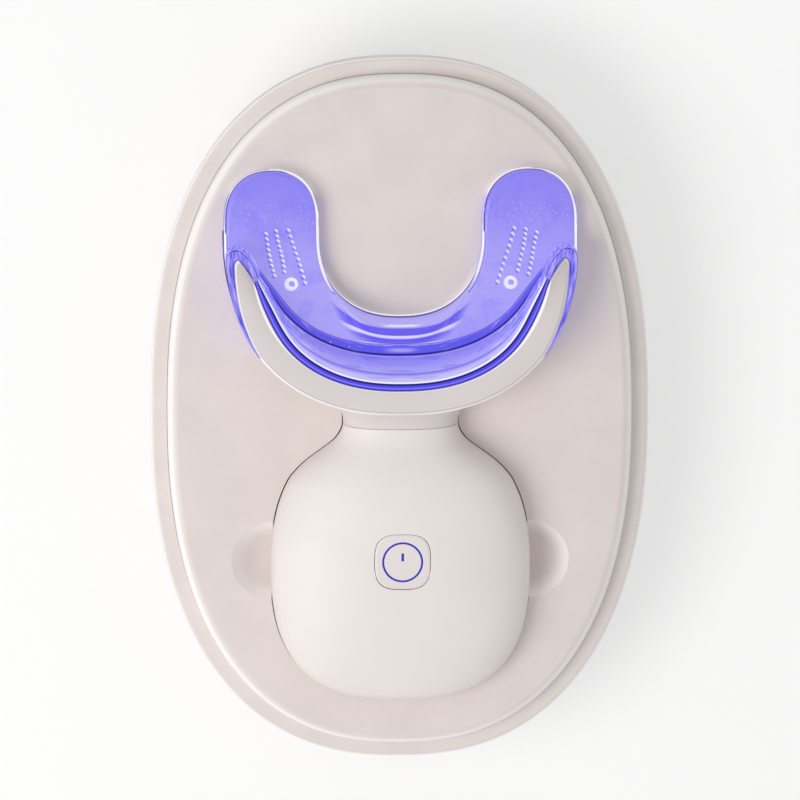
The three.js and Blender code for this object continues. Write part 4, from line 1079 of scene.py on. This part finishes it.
def open_button_hole(made, rows=6):
    """Takes out the faces under the button and draws rows of new ones in to its outline."""
    def near(item):
        return all(max(abs(v.co.x), abs(v.co.y - BUTTON_Y)) < BUTTON_WINDOW for v in item.verts)

    def round_window(edge):
        return all(math.hypot(v.co.x, v.co.y - BUTTON_Y) < 2 * BUTTON_WINDOW for v in edge.verts)

    bmesh.ops.delete(made, geom=[face for face in made.faces if near(face)], context="FACES")
    rim = [edge for edge in made.edges if edge.is_boundary and round_window(edge)]
    starts = {}
    for row in range(1, rows + 1):
        grown = bmesh.ops.extrude_edge_only(made, edges=rim)["geom"]
        corners = [item for item in grown if isinstance(item, bmesh.types.BMVert)]
        fresh = set(corners)
        edges = [item for item in grown if isinstance(item, bmesh.types.BMEdge)]
        rim = [edge for edge in edges if all(v in fresh for v in edge.verts)]
        places = {}
        for corner in corners:
            x, y = corner.co.x, corner.co.y - BUTTON_Y
            start = starts.get((round(x, 4), round(y, 4)), (x, y))
            angle = math.atan2(start[1], start[0])
            reached = button_outline(BUTTON_GAP, angle)
            goal = (reached * math.cos(angle), reached * math.sin(angle))
            x, y = between(start, goal, row / rows)
            corner.co = (x, y + BUTTON_Y, crown_height(x, y + BUTTON_Y))
            places[(round(x, 4), round(y, 4))] = start
        starts = places


def edge_key(edge):
    return tuple(sorted(tuple(v.co) for v in edge.verts))


def handle_shell(side):
    """One shell of the handle, with its wall; the top one has the button's hole."""
    rings = [half_section(y, wide, tall, side, SEAM_GAP) for y, wide, tall in handle_stations()]
    made = skin(rings, closed=False)
    if side > 0:
        open_button_hole(made)
    outward(made)
    middle = max(made.faces, key=lambda face: side * face.calc_center_median().z)
    if middle.normal.z * side < 0:
        bmesh.ops.reverse_faces(made, faces=made.faces)
    rims = {edge_key(edge) for edge in made.edges if edge.is_boundary}
    bmesh.ops.solidify(made, geom=made.faces, thickness=HANDLE_WALL)
    outward(made)
    return eased(made, SHELL_EDGE, lambda edge: edge_key(edge) in rims and steep(edge, 30))


def screw_places():
    wide, long = SCREW_REACH
    return [(x, HANDLE_Y + y) for y in (-long, long) for x in (-wide, wide)]


def handle_top():
    return handle_shell(1)


def handle_bottom():
    made = handle_shell(-1)
    steps = []
    for x, y in screw_places():
        post = drum(BOSS_RADIUS, 10, MID_Z - SEAM_GAP, x, y)
        steps.append(("UNION", worked(post, ("INTERSECT", pillow(-BOSS_INSET, NECK_SEAM_Y)))))
    for x, y in screw_places():
        steps.append(("DIFFERENCE", drum(SCREW_WELL_RADIUS, 5, SCREW_WELL_Z, x, y)))
        steps.append(("DIFFERENCE", drum(SCREW_HOLE_RADIUS, 5, MID_Z + 1, x, y, 24)))
    return worked(made, *steps)


SCREW_PROFILE = (
    (0, 0), (1.35, 0), (1.75, 0.15), (1.9, 0.5), (1.9, 1.5), (1.0, 1.5), (1.0, 8.2), (0.7, 8.6), (0, 8.6),
)


def handle_screw(x, y):
    """A countersunk screw seen from below, with a cross recess."""
    low = SCREW_HEAD_Z
    made = lathed([(radius, low + up) for radius, up in SCREW_PROFILE], 40, (0, 0, 0), closed=False)
    made = cut(made, block((2.1, 0.42, 1.6), (0, 0, low)), block((0.42, 2.1, 1.6), (0, 0, low)))
    bmesh.ops.translate(made, verts=made.verts, vec=(x, y, 0))
    return made


def shell_seal():
    """The soft seal pressed between the two shells, open at the neck."""
    stations = [handle_stations(-inset, NECK_SEAM_Y - SEAL_SHORT) for inset in SEAL_INSETS]
    outer, inner = [[(wide, y) for y, wide, _ in line] for line in stations]
    outline = [(-x, y) for x, y in reversed(outer) if x > WELD] + outer
    outline += list(reversed(inner)) + [(-x, y) for x, y in inner if x > WELD]
    return prism(outline, MID_Z - SEAL_THICKNESS, MID_Z - SEAM_GAP)


# Head

def drop_at(y):
    """How far the head's top has come down towards its tips."""
    share = min(1.0, max(0.0, (y - ARCH_Y + TIP_DROP_LENGTH) / TIP_DROP_LENGTH))
    return TIP_DROP * share * share


def head_outer(angle):
    """The head's outer radius, which draws in where the silicone covers its sides."""
    share = max(0.0, (abs(angle) - COVER_ANGLE) / (TIP_ANGLE - COVER_ANGLE))
    return HEAD_RADIUS - HEAD_TUCK * min(1.0, share) ** HEAD_TUCK_POWER


def head_inner(angle):
    """The head's inner radius, which draws in a little on the way to the tips."""
    return HEAD_INNER - SWELL * math.exp(-((math.degrees(angle) - SWELL_DEGREES) / SWELL_SPREAD) ** 2)


def head_section(outer, inner, edge_out=1.0, edge_in=0.3):
    """A closed section of the head between an outer and an inner place, with rounded edges."""
    span = math.dist(outer, inner)
    edge_out, edge_in = min(edge_out, 0.45 * span), min(edge_in, 0.3 * span)
    wide = max(span, WELD)
    upper = [(edge_out * (1 - cos) / wide, edge_out * (1 - sin)) for sin, cos in quarter(6)]
    upper += [(1 - edge_in * (1 - cos) / wide, edge_in * (1 - sin)) for sin, cos in reversed(quarter(4))]
    top_out, top_in = [HEAD_HALF - drop_at(place[1]) for place in (outer, inner)]
    points = []
    for share, down in upper:
        points.append((*between(outer, inner, share), MID_Z + top_out + (top_in - top_out) * share - down))
    return points + [(x, y, 2 * MID_Z - z) for x, y, z in reversed(points)]


def head_shell():
    """The crescent with its two tips, and the stub of the neck behind it."""
    rings = []
    for angle in even_angles(TIP_ANGLE, 110):
        inner_angle = angle * TIP_INNER_ANGLE / TIP_ANGLE
        rings.append((round_arch(head_outer(angle), angle), round_arch(head_inner(inner_angle), inner_angle)))
    (outer, inner), (_, before) = rings[-1], rings[-4]
    run = math.dist(inner, before)
    ahead = tuple(q + (q - p) * TIP_REACH / run for p, q in zip(before, inner))
    for step in range(1, TIP_STEPS + 1):
        share = 1 - (1 - step / TIP_STEPS) ** TIP_SPACING
        rings.append((curve(outer, TIP_SHOULDER, TIP, share), curve(inner, ahead, TIP, share)))
    crescent = capped(both_sides([head_section(outer, inner) for outer, inner in rings]))
    stub = []
    for step in range(13):
        y = NECK_SEAM_Y + NECK_GAP + (NECK_ROOT_Y - NECK_SEAM_Y) * step / 12
        out = max(0.0, min(y, NECK_FLARE_END_Y) - NECK_SEAM_Y - NECK_STRAIGHT) / NECK_STUB
        up = (min(y, NECK_RISE_END_Y) - NECK_SEAM_Y) / NECK_STUB
        wide = NECK_HALF_WIDTH + NECK_FLARE * out ** NECK_FLARE_POWER
        stub.append(whole_section(y, wide, NECK_HALF_HEIGHT + NECK_RISE * up ** 2))
    neck = capped(stub)
    eased(neck, 0.07, lambda edge: steep(edge, 60) and all(v.co.y < NECK_SEAM_Y + 0.2 for v in edge.verts), 2)
    return joined(crescent, neck)


# Mouthpiece

def wall_top(angle):
    """Radius of the line where the wall's top rolls over to its face; it bends out to the nose."""
    bend = WALL_BEND * max(0.0, math.degrees(angle) - WALL_BEND_DEGREES) ** 2
    return head_inner(angle) - SILICONE_GAP - WALL_TOP_WIDTH + bend


def wall_foot(angle):
    """Where the wall's face meets the bite plate; it bends out with the top."""
    grown = 1 + FOOT_BEND * max(0.0, math.degrees(angle) - FOOT_BEND_DEGREES) ** 2
    return arch_point(WALL_FOOT[0] * grown, WALL_FOOT[1] * grown, angle)


def wall_stations():
    """Along the front wall and round the head's tip: the top's edge, the foot, and the head's side."""
    stations = []
    for angle in even_angles(WALL_END_ANGLE, 90):
        held = round_arch(head_inner(angle) - SILICONE_GAP, angle)
        stations.append((round_arch(wall_top(angle), angle), wall_foot(angle), held))
    first_top, first_foot, first_held = stations[-1]
    last = round_arch(HEAD_RADIUS, SLIVER_ANGLE)
    side_end = round_arch(head_outer(TIP_ANGLE) + SIDE_OVERLAP, TIP_ANGLE)
    beyond_nose = curve_places(NOSE, NOSE_FAR_CONTROL, last, 10)
    tops = curve_places(first_top, NOSE_CONTROL, NOSE, 12) + beyond_nose
    feet = curve_places(first_foot, NOSE_FOOT_CONTROL, NOSE, 12) + beyond_nose
    sides = curve_places(first_held, NOSE_INNER_CONTROL, NOSE_TIP, 12)
    sides += curve_places(NOSE_TIP, NOSE_OUTER_CONTROL, side_end, 10)
    stations += list(zip(tops, feet, sides))
    stretch = (TIP_ANGLE - COVER_ANGLE) / (SLIVER_ANGLE - COVER_ANGLE)
    for angle in reversed(even_angles(SLIVER_ANGLE, 90)[:-1]):
        if angle < COVER_ANGLE - 0.02:
            break
        held_angle = COVER_ANGLE + (angle - COVER_ANGLE) * stretch
        held = min(head_outer(held_angle) + SIDE_OVERLAP, HEAD_RADIUS - 0.06)
        outer = round_arch(HEAD_RADIUS, angle)
        stations.append((outer, outer, round_arch(held, held_angle)))
    return stations


WALL_FACE_SHARES = (
    (0.12, 0.2), (0.28, 0.4), (0.45, 0.56), (0.62, 0.69), (0.65, 0.735), (0.8, 0.86), (0.92, 0.96),
)


def wall_section(top, foot, held):
    """A section of the wall: up its hollow face, over its rounded top and down the head's side."""
    tall, tall_held = WALL_HALF - drop_at(top[1]), WALL_HALF - drop_at(held[1])
    span = math.dist(top, held)
    edge, inner_edge = min(WALL_EDGE, 0.4 * span), min(WALL_INNER_EDGE, 0.25 * span)
    points = [(*foot, 0.0), (*foot, BITE_HALF)]
    for up, across in WALL_FACE_SHARES:
        points.append((*between(foot, top, across), BITE_HALF + (tall - edge - BITE_HALF) * up))
    for sin, cos in quarter(4):
        points.append((*between(top, held, edge * (1 - cos) / span), tall - edge * (1 - sin)))
    for sin, cos in reversed(quarter(3)):
        place = between(held, top, inner_edge * (1 - cos) / span)
        points.append((*place, tall_held - inner_edge * (1 - sin)))
    points.append((*held, 0.0))
    upper = [(x, y, MID_Z + z) for x, y, z in points]
    return upper + [(x, y, 2 * MID_Z - z) for x, y, z in upper[-2:0:-1]]


def ridge_width(inner, foot):
    """How wide the low wall behind the front teeth is along a line across the bite plate."""
    def beyond(share):
        x, y = between(inner, foot, share)
        return (abs(x) / RIDGE[0]) ** ARCH_POWER + (max(0.0, ARCH_Y - y) / RIDGE[1]) ** ARCH_POWER - 1
    if inner[1] >= ARCH_Y or beyond(0) >= 0:
        return 0.0
    low, high = 0.0, 1.0
    for _ in range(30):
        middle = (low + high) / 2
        low, high = (middle, high) if beyond(middle) < 0 else (low, middle)
    return low * math.dist(inner, foot)


def ridge_shape(share):
    """The low wall's height, as a share, from its tongue side to its foot."""
    def smooth(value):
        value = min(1.0, max(0.0, value))
        return value * value * (3 - 2 * value)
    return smooth(share / RIDGE_UP) * (1 - smooth((share - RIDGE_DOWN) / (1 - RIDGE_DOWN)))


def round_drop(edge, gone):
    """How far a rounded edge has come down at a place that lies so far inside it."""
    if gone >= edge:
        return 0.0
    return edge - math.sqrt(max(0.0, edge * edge - (edge - gone) ** 2))


def bite_height(ridge, gone, edge_gap):
    """The bite plate's height at a place that lies so far from its inner edge and its outer one."""
    tall = min(1.0, ridge / RIDGE_FULL_WIDTH)
    edge = BITE_EDGE - (BITE_EDGE - RIDGE_EDGE) * tall
    top = BITE_HALF - round_drop(edge, gone) - round_drop(BITE_EDGE, edge_gap)
    if ridge > 0.2:
        top += RIDGE_HEIGHT * tall * ridge_shape(gone / ridge)
    return top


def bite_rows():
    """Rows across the bite plate: inner place, wall foot place, outer place, for the right half."""
    rows = []
    for angle in even_angles(QUARTER, 92):
        free = round_arch(BITE_SIDE, angle)
        outer = free if free[1] > BITE_FREE_Y else round_arch(BITE_HIDDEN, angle)
        rows.append((arch_point(*BITE_INNER, angle), arch_point(*WALL_FOOT, angle), outer))
    for step in range(1, 4):
        y = ARCH_Y + (ARM_ROUND_Y - ARCH_Y) * step / 3
        rows.append(((BITE_INNER[0], y), (WALL_FOOT[0], y), (BITE_SIDE, y)))
    for step in range(1, 29):
        x, y = arm_end_point(QUARTER * step / 28)
        half = x - ARM_MIDDLE
        rows.append(((ARM_MIDDLE - half, y), (ARM_MIDDLE + half * 0.25, y), (x, y)))
    return rows


def arm_gap(x, y):
    """How far a place on the arm's rounded end lies inside its outline."""
    if y < ARM_ROUND_Y:
        return FAR
    across = min(1.0, abs(x - ARM_MIDDLE) / ARM_HALF_WIDTH)
    along = (y - ARM_ROUND_Y) / ARM_END
    inside = 1 - across ** ARCH_POWER - along ** ARCH_POWER
    steepness = ARCH_POWER - 1
    slope = ARCH_POWER * math.hypot(across ** steepness / ARM_HALF_WIDTH, along ** steepness / ARM_END)
    return max(0.0, inside / max(slope, 1e-6))


BITE_NEAR = (0.0, 0.03, 0.1, 0.22, 0.38, 0.56, 0.75, 0.95, 1.15)
BITE_ONWARD = (1.4, 1.6, 1.95, 2.3, 2.65, 3.0, 3.4, 3.8, 4.2, 4.6, 5.0, 5.4, 5.9, 6.5)


def bite_section(inner, foot, outer):
    """A section across the bite plate, close-set near its two edges."""
    span, whole = math.dist(inner, foot), math.dist(inner, outer)
    ridge = ridge_width(inner, foot)
    steps = [min(gone, span) for gone in BITE_NEAR + BITE_ONWARD]
    steps += [span + (whole - span) * share for share in (0.25, 0.5)] if whole > span + 3 else [span] * 2
    free_edge = outer[0] > BITE_OPEN[0] or outer[1] > BITE_OPEN[1]
    last_step = steps[-1]
    steps += [max(last_step, whole - gap) if free_edge else whole for gap in reversed(BITE_NEAR)]
    points = []
    for gone in steps:
        gone = min(gone, whole)
        x, y = between(inner, outer, gone / whole) if whole > WELD else inner
        gap = arm_gap(x, y)
        edge_gap = min(whole - gone if free_edge else FAR, gap)
        height = bite_height(ridge, min(gone, gap), edge_gap)
        if gap < gone < BITE_EDGE:
            height = bite_height(ridge, FAR, min(edge_gap, gone))
        points.append((x, y, height))
    upper = [(*points[0][:2], 0.0), *points, (*points[-1][:2], 0.0)]
    raised = [(x, y, MID_Z + z) for x, y, z in upper]
    return raised + [(x, y, 2 * MID_Z - z) for x, y, z in raised[-2:0:-1]]


def grips():
    """Rows of low bumps on both arms and a round mark by each."""
    parts = []
    top = MID_Z + BITE_HALF
    for side in (-1, 1):
        for first, last, count in GRIP_ROWS:
            for step in range(count):
                x, y = between(first, last, step / (count - 1))
                sway = GRIP_SWAY * math.sin(7.3 * step + 2.1 * x + side)
                place = (side * x + sway, y + sway / 2, top)
                parts.append(ball(GRIP_RADIUS + 0.5 * abs(sway), place, 12, 8, flat=0.7))
        mark = bmesh.new()
        turned = Matrix.Translation((MARK_RADIUS, 0, 0)) @ Matrix.Rotation(QUARTER, 4, "X")
        bmesh.ops.create_circle(mark, segments=12, radius=MARK_TUBE, matrix=turned)
        parts.append(spun(mark, mark.edges[:], 28, (side * MARK[0], MARK[1], top + 0.04)))
    return together(*parts)


def mouthpiece():
    bite_plate = capped(both_sides([bite_section(*row) for row in bite_rows()]))
    front_wall = capped(both_sides([wall_section(*station) for station in wall_stations()]))
    return joined(bite_plate, front_wall, grips())


# Button

def button_ring(radius, z):
    return [(radius * math.cos(turn), BUTTON_Y + radius * math.sin(turn), z) for turn in turns(96)]


def button_edge(inset, z):
    points = []
    for turn in turns(96):
        reach = button_outline(-inset, turn)
        points.append((reach * math.cos(turn), BUTTON_Y + reach * math.sin(turn), z))
    return points


def button_cap():
    """A rounded square cap with a round groove for the light line and a slot for the bar."""
    top, floor = BUTTON_TOP_Z, BUTTON_TOP_Z - LIGHT_DEPTH
    inner, outer = GROOVE_RADII
    shoulder = 0.05
    rings = [button_ring(radius, top) for radius in (1.6, 2.6, inner - shoulder)]
    rings += [button_ring(inner, z) for z in (top - shoulder, floor)]
    rings += [button_ring(outer, z) for z in (floor, top - shoulder)]
    rings += [button_ring(outer + shoulder, top), button_edge(0.5, top), button_edge(BUTTON_ROUND, top)]
    for sin, cos in quarter(5)[1:]:
        rings.append(button_edge(BUTTON_ROUND * (1 - sin), top - BUTTON_ROUND * (1 - cos)))
    rings += [button_edge(0, top - 2.0), button_edge(-1.0, top - 2.4), button_edge(-1.0, top - 3.4)]
    slot = block((BAR_WIDTH + 0.08, BAR_LENGTH + 0.1, 2.0), (0, BAR_Y, floor + 1.0))
    return cut(capped(rings), slot)


def power_ring():
    inner, outer = LIGHT_RADII
    top, bottom, soft = BUTTON_TOP_Z, BUTTON_TOP_Z - LIGHT_DEPTH, 0.03
    profile = [(inner, bottom), (outer, bottom), (outer, top - soft), (outer - soft, top)]
    profile += [(inner + soft, top), (inner, top - soft)]
    return lathed(profile, 96, (0, BUTTON_Y, 0), closed=True)


def power_bar():
    made = block((BAR_WIDTH, BAR_LENGTH, LIGHT_DEPTH), (0, BAR_Y, BUTTON_TOP_Z - LIGHT_DEPTH / 2))
    return eased(made, 0.05, lambda edge: max(v.co.z for v in edge.verts) > 37 or steep(edge, 80), 2)


# Case

def case_ring(inset, z, steps=256):
    """A ring round the case, set in from its widest outline."""
    wide, long = CASE_HALF_WIDTH - inset, CASE_HALF_LENGTH - inset
    return [
        (wide * rounded(math.cos(turn), CASE_POWER), long * rounded(math.sin(turn), CASE_POWER), z)
        for turn in turns(steps)
    ]


def case_base():
    """The bowl: foot, bulging side, rim band, and the room inside, with the charging port."""
    pad = PAD_EDGE - PAD_GAP
    rings = [case_ring(pad + 4, PAD_TOP_Z), case_ring(pad, PAD_TOP_Z), case_ring(pad, 0.95)]
    rings.append(case_ring(pad - 0.15, UNDERSIDE_Z))
    for sin, cos in reversed(quarter(24)[1:]):
        rings.append(case_ring(CASE_TUCK * (1 - cos), RIM_Z - (RIM_Z - UNDERSIDE_Z) * sin))
    for sin, cos in quarter(6):
        rings.append(case_ring(RIM_ROUND * (1 - cos), RIM_Z - RIM_ROUND * (1 - sin)))
    for sin, cos in reversed(quarter(4)):
        rings.append(case_ring(RIM_WIDTH - RIM_INNER_ROUND * (1 - cos), RIM_Z - RIM_INNER_ROUND * (1 - sin)))
    rings += [case_ring(RIM_WIDTH, RIM_Z - 3), case_ring(CASE_WALL + 0.1, RIM_Z - 3.4)]
    floor = UNDERSIDE_Z + CASE_WALL
    for sin, cos in quarter(24)[5:]:
        rings.append(case_ring(CASE_WALL + CASE_TUCK * (1 - cos), RIM_Z - (RIM_Z - floor) * sin))
    rings.append(case_ring(CASE_WALL + CASE_TUCK + 4, floor))
    made = cut(capped(rings), stadium(*PORT, -CASE_HALF_LENGTH - 2, PORT_DEPTH_Y))

    def at_port(place):
        beside = abs(place.x) < PORT[0] / 2 + 0.2 and abs(place.z - PORT_Z) < PORT[1] / 2 + 0.15
        return beside and place.y < PORT_DEPTH_Y - 6

    return eased(made, 0.3, lambda edge: steep(edge, 35) and all(at_port(v.co) for v in edge.verts))


def stadium(width, height, from_y, to_y, steps=14):
    """A solid with a long round-ended section, lying along the case at the port's height."""
    outline = []
    for side in (1, -1):
        for step in range(steps + 1):
            angle = math.pi * step / steps - QUARTER
            across = (width - height) / 2 + height / 2 * math.cos(angle)
            outline.append((side * across, side * height / 2 * math.sin(angle)))
    return capped([[(x, y, PORT_Z + up) for x, up in outline] for y in (from_y, to_y)])


def arm_bed(grown):
    """The outline of the bite plate, grown on every side."""
    outer = half_arch(HEAD_RADIUS + grown, HEAD_RADIUS + grown, 180)
    inner = half_arch(BITE_INNER[0] - grown, BITE_INNER[1] - grown, 150)
    end = [arm_end_point(math.pi * step / 48, grown) for step in range(1, 48)]
    right = [(HEAD_RADIUS + grown, ARM_ROUND_Y), *end, (BITE_INNER[0] - grown, ARM_ROUND_Y)]
    return outer + right + list(reversed(inner)) + [(-x, y) for x, y in reversed(right)]


def case_tray():
    """The raised insert with a bed for the handle, the head and the arms, and two finger scoops."""
    lip = TRAY_EDGE + TRAY_LIP
    rings = [case_ring(lip, NEST_UNDERSIDE_Z), case_ring(lip, TRAY_LIP_Z)]
    rings += [case_ring(TRAY_EDGE, TRAY_LIP_Z), case_ring(TRAY_EDGE, 20.0)]
    inward, down = TRAY_ROUND
    for sin, cos in quarter(12):
        rings.append(case_ring(TRAY_EDGE + inward * (1 - cos), TRAY_Z - down * (1 - sin)))
    scoops = [
        ball(SCOOP_RADIUS, (side * HANDLE_WIDTH / 2, HANDLE_Y, SCOOP_Z), 96, 48) for side in (-1, 1)
    ]
    above = TRAY_Z + 6
    bed = HEAD_RADIUS + NEST_GAP
    head_bed = half_arch(bed, bed, 180) + [(bed, ARCH_Y + 0.4), (-bed, ARCH_Y + 0.4)]
    core = half_arch(*CORE, 150) + [(CORE[0], ARM_ROUND_Y), (-CORE[0], ARM_ROUND_Y)]
    head_room = cut(prism(head_bed, HEAD_NEST_Z, above), prism(core, 5, TRAY_Z + 8))
    ridge_room = cut(
        prism(half_arch(*RIDGE_ROOM, 90), *RIDGE_ROOM_Z), prism(half_arch(*RIDGE_ROOM_CORE, 90), 15, 28)
    )
    made = cut(
        capped(rings), pillow(NEST_GAP, 2.95), head_room, prism(arm_bed(0.05), ARM_NEST_Z, above),
        ridge_room, *scoops,
    )
    return eased(
        made, 0.2, lambda edge: steep(edge, 25) and all(v.co.z > TRAY_Z - 0.005 for v in edge.verts)
    )


PAD_TREAD = (
    (0, 1.4), (0, 0.35), (0.1, 0.1), (0.35, 0.0), (2.6, 0.0), (2.9, 0.3),
    (3.5, 0.3), (3.8, 0.0), (7.0, 0.0), (7.3, 0.3), (7.9, 0.3), (8.2, 0.0),
)


def foot_pad():
    return capped([case_ring(PAD_EDGE + inset, z, 192) for inset, z in PAD_TREAD])


def usb_socket():
    """A folded metal mouth with its tongue."""
    wide, tall = SOCKET
    front, back = SOCKET_Y
    inside = stadium(wide - 2 * SOCKET_WALL, tall - 2 * SOCKET_WALL, front - 1.55, back - SOCKET_WALL)
    shell = cut(stadium(wide, tall, front, back), inside)
    eased(shell, 0.1, lambda edge: steep(edge, 60) and all(v.co.y < front + 0.1 for v in edge.verts), 2)
    tongue = eased(block(TONGUE, (0, TONGUE_Y, PORT_Z)), 0.12, lambda edge: steep(edge, 60), 2)
    return joined(shell, tongue)


piece("base_bowl", case_base(), "case", "case_base_shell", case_plastic, weighted=True)
piece("nest_tray", case_tray(), "case", "case_tray", tray_plastic, weighted=True)
piece("foot_pad", foot_pad(), "case", "non_slip_pad", grey_rubber)
piece("charging_socket", usb_socket(), "case", "usb_socket", steel)
piece("handle_top", handle_top(), "device", "handle_top_shell", handle_plastic)
piece("handle_bottom", handle_bottom(), "device", "handle_bottom_shell", handle_plastic)
piece("shell_seal", shell_seal(), "device", "handle_seal", grey_rubber)
for number, (x, y) in enumerate(screw_places(), 1):
    piece(f"drive_screw_{number}", handle_screw(x, y), "device", f"handle_screw_{number}", steel)
piece("light_head", head_shell(), "device", "head_housing", head_plastic)
piece("bite_tray", mouthpiece(), "device", "mouthpiece", silicone)
piece("power_button", button_cap(), "button", "button_cap", button_plastic)
piece("light_ring", power_ring(), "button", "power_ring", power_light)
piece("light_bar", power_bar(), "button", "power_bar", power_light)

FINISHES = {
    "case_screw": steel, "charging_board": board_green, "main_board": board_green, "led_strip": board_green,
    "transmit_coil": copper_winding, "receive_coil": copper_winding, "coil_lead": copper_wire,
    "transmit_ferrite": ferrite, "receive_ferrite": ferrite, "case_magnet": nickel, "device_magnet": nickel,
    "neck_seal": grey_rubber, "button_seal": white_rubber,
    "battery_cell": cell_foil, "battery_pad": foam, "battery_lead_red": red_cover,
    "battery_lead_black": black_cover, "switch_body": black_plastic, "switch_plunger": black_plastic,
    "led_window": window, "led_": led_lens,
}
for name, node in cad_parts.items():
    finish = next((made for start, made in FINISHES.items() if name.startswith(start)), None)
    if finish and not node.hide_render:
        node.data.materials.clear()
        node.data.materials.append(finish)


# Floor, light and camera

def floor_finish():
    """White for the camera and in reflections, and darker where the object shades it."""
    made = bpy.data.materials.new("floor")
    made.use_nodes = True
    nodes = Nodes(made.node_tree)
    nodes.tree.nodes.remove(nodes.tree.nodes["Principled BSDF"])
    camera_ray = nodes.add("ShaderNodeLightPath", {}, {}, "Is Camera Ray")
    seen = camera_ray.most(camera_ray.other("Is Glossy Ray"))
    plain = nodes.add("ShaderNodeBsdfDiffuse", {}, {"Color": (FLOOR_SHADE, FLOOR_SHADE, FLOOR_SHADE, 1)})
    lit = nodes.add("ShaderNodeEmission", {}, {"Color": WHITE, "Strength": FLOOR_GLOW})
    mixed = nodes.add("ShaderNodeMixShader", {}, {0: seen * FLOOR_WHITE, 1: plain, 2: lit})
    nodes.feed(nodes.tree.nodes["Material Output"], "Surface", mixed)
    return made


floor_mesh = bmesh.new()
bmesh.ops.create_grid(floor_mesh, x_segments=1, y_segments=1, size=FLOOR_SIZE)
bmesh.ops.translate(floor_mesh, verts=floor_mesh.verts, vec=(0, 0, -FLOOR_DROP))
floor_data = bpy.data.meshes.new("floor")
floor_mesh.to_mesh(floor_data)
floor_mesh.free()
floor_data.materials.append(floor_finish())
placed("floor", floor_data)

world = bpy.data.worlds.new("studio")
bpy.context.scene.world = world
world.use_nodes = True
sky = Nodes(world.node_tree)
camera_ray = sky.add("ShaderNodeLightPath", {}, {}, "Is Camera Ray")
seen = camera_ray.most(camera_ray.other("Is Transmission Ray"))
background = sky.tree.nodes["Background"]
sky.feed(background, "Color", WHITE)
sky.feed(background, "Strength", sky.add("ShaderNodeMapRange", {}, {0: seen, 3: SKY_LIGHT, 4: 1.0}))


def lamp(name, place, aim, size, power, colour):
    light = bpy.data.lights.new(name, "AREA")
    light.shape = "DISK"
    light.size = size
    light.energy = power
    light.color = colour
    thing = placed(name, light)
    thing.location = place
    thing.rotation_mode = "QUATERNION"
    thing.rotation_quaternion = (Vector(place) - Vector(aim)).to_track_quat("Z", "Y")


lamp("key", LAMP_PLACE, LAMP_AIM, size=0.5, power=2.7, colour=LAMP_COLOUR)

camera_data = bpy.data.cameras.new("camera")
camera_data.sensor_width = SENSOR
camera_data.lens = SENSOR * CAMERA_DISTANCE / SHOWN_WIDTH
camera_data.clip_start = 0.05
camera_data.clip_end = 20
camera = placed("camera", camera_data)
across = Vector(CAMERA_ACROSS).normalized()
up = Vector(CAMERA_UP)
up = (up - across * up.dot(across)).normalized()
towards = across.cross(up)
turned = Matrix((across, up, towards)).transposed().to_4x4()
camera.matrix_world = Matrix.Translation(Vector(CAMERA_AIM) * MM + towards * CAMERA_DISTANCE) @ turned
bpy.context.scene.camera = camera
bpy.context.scene.view_settings.view_transform = "Standard"
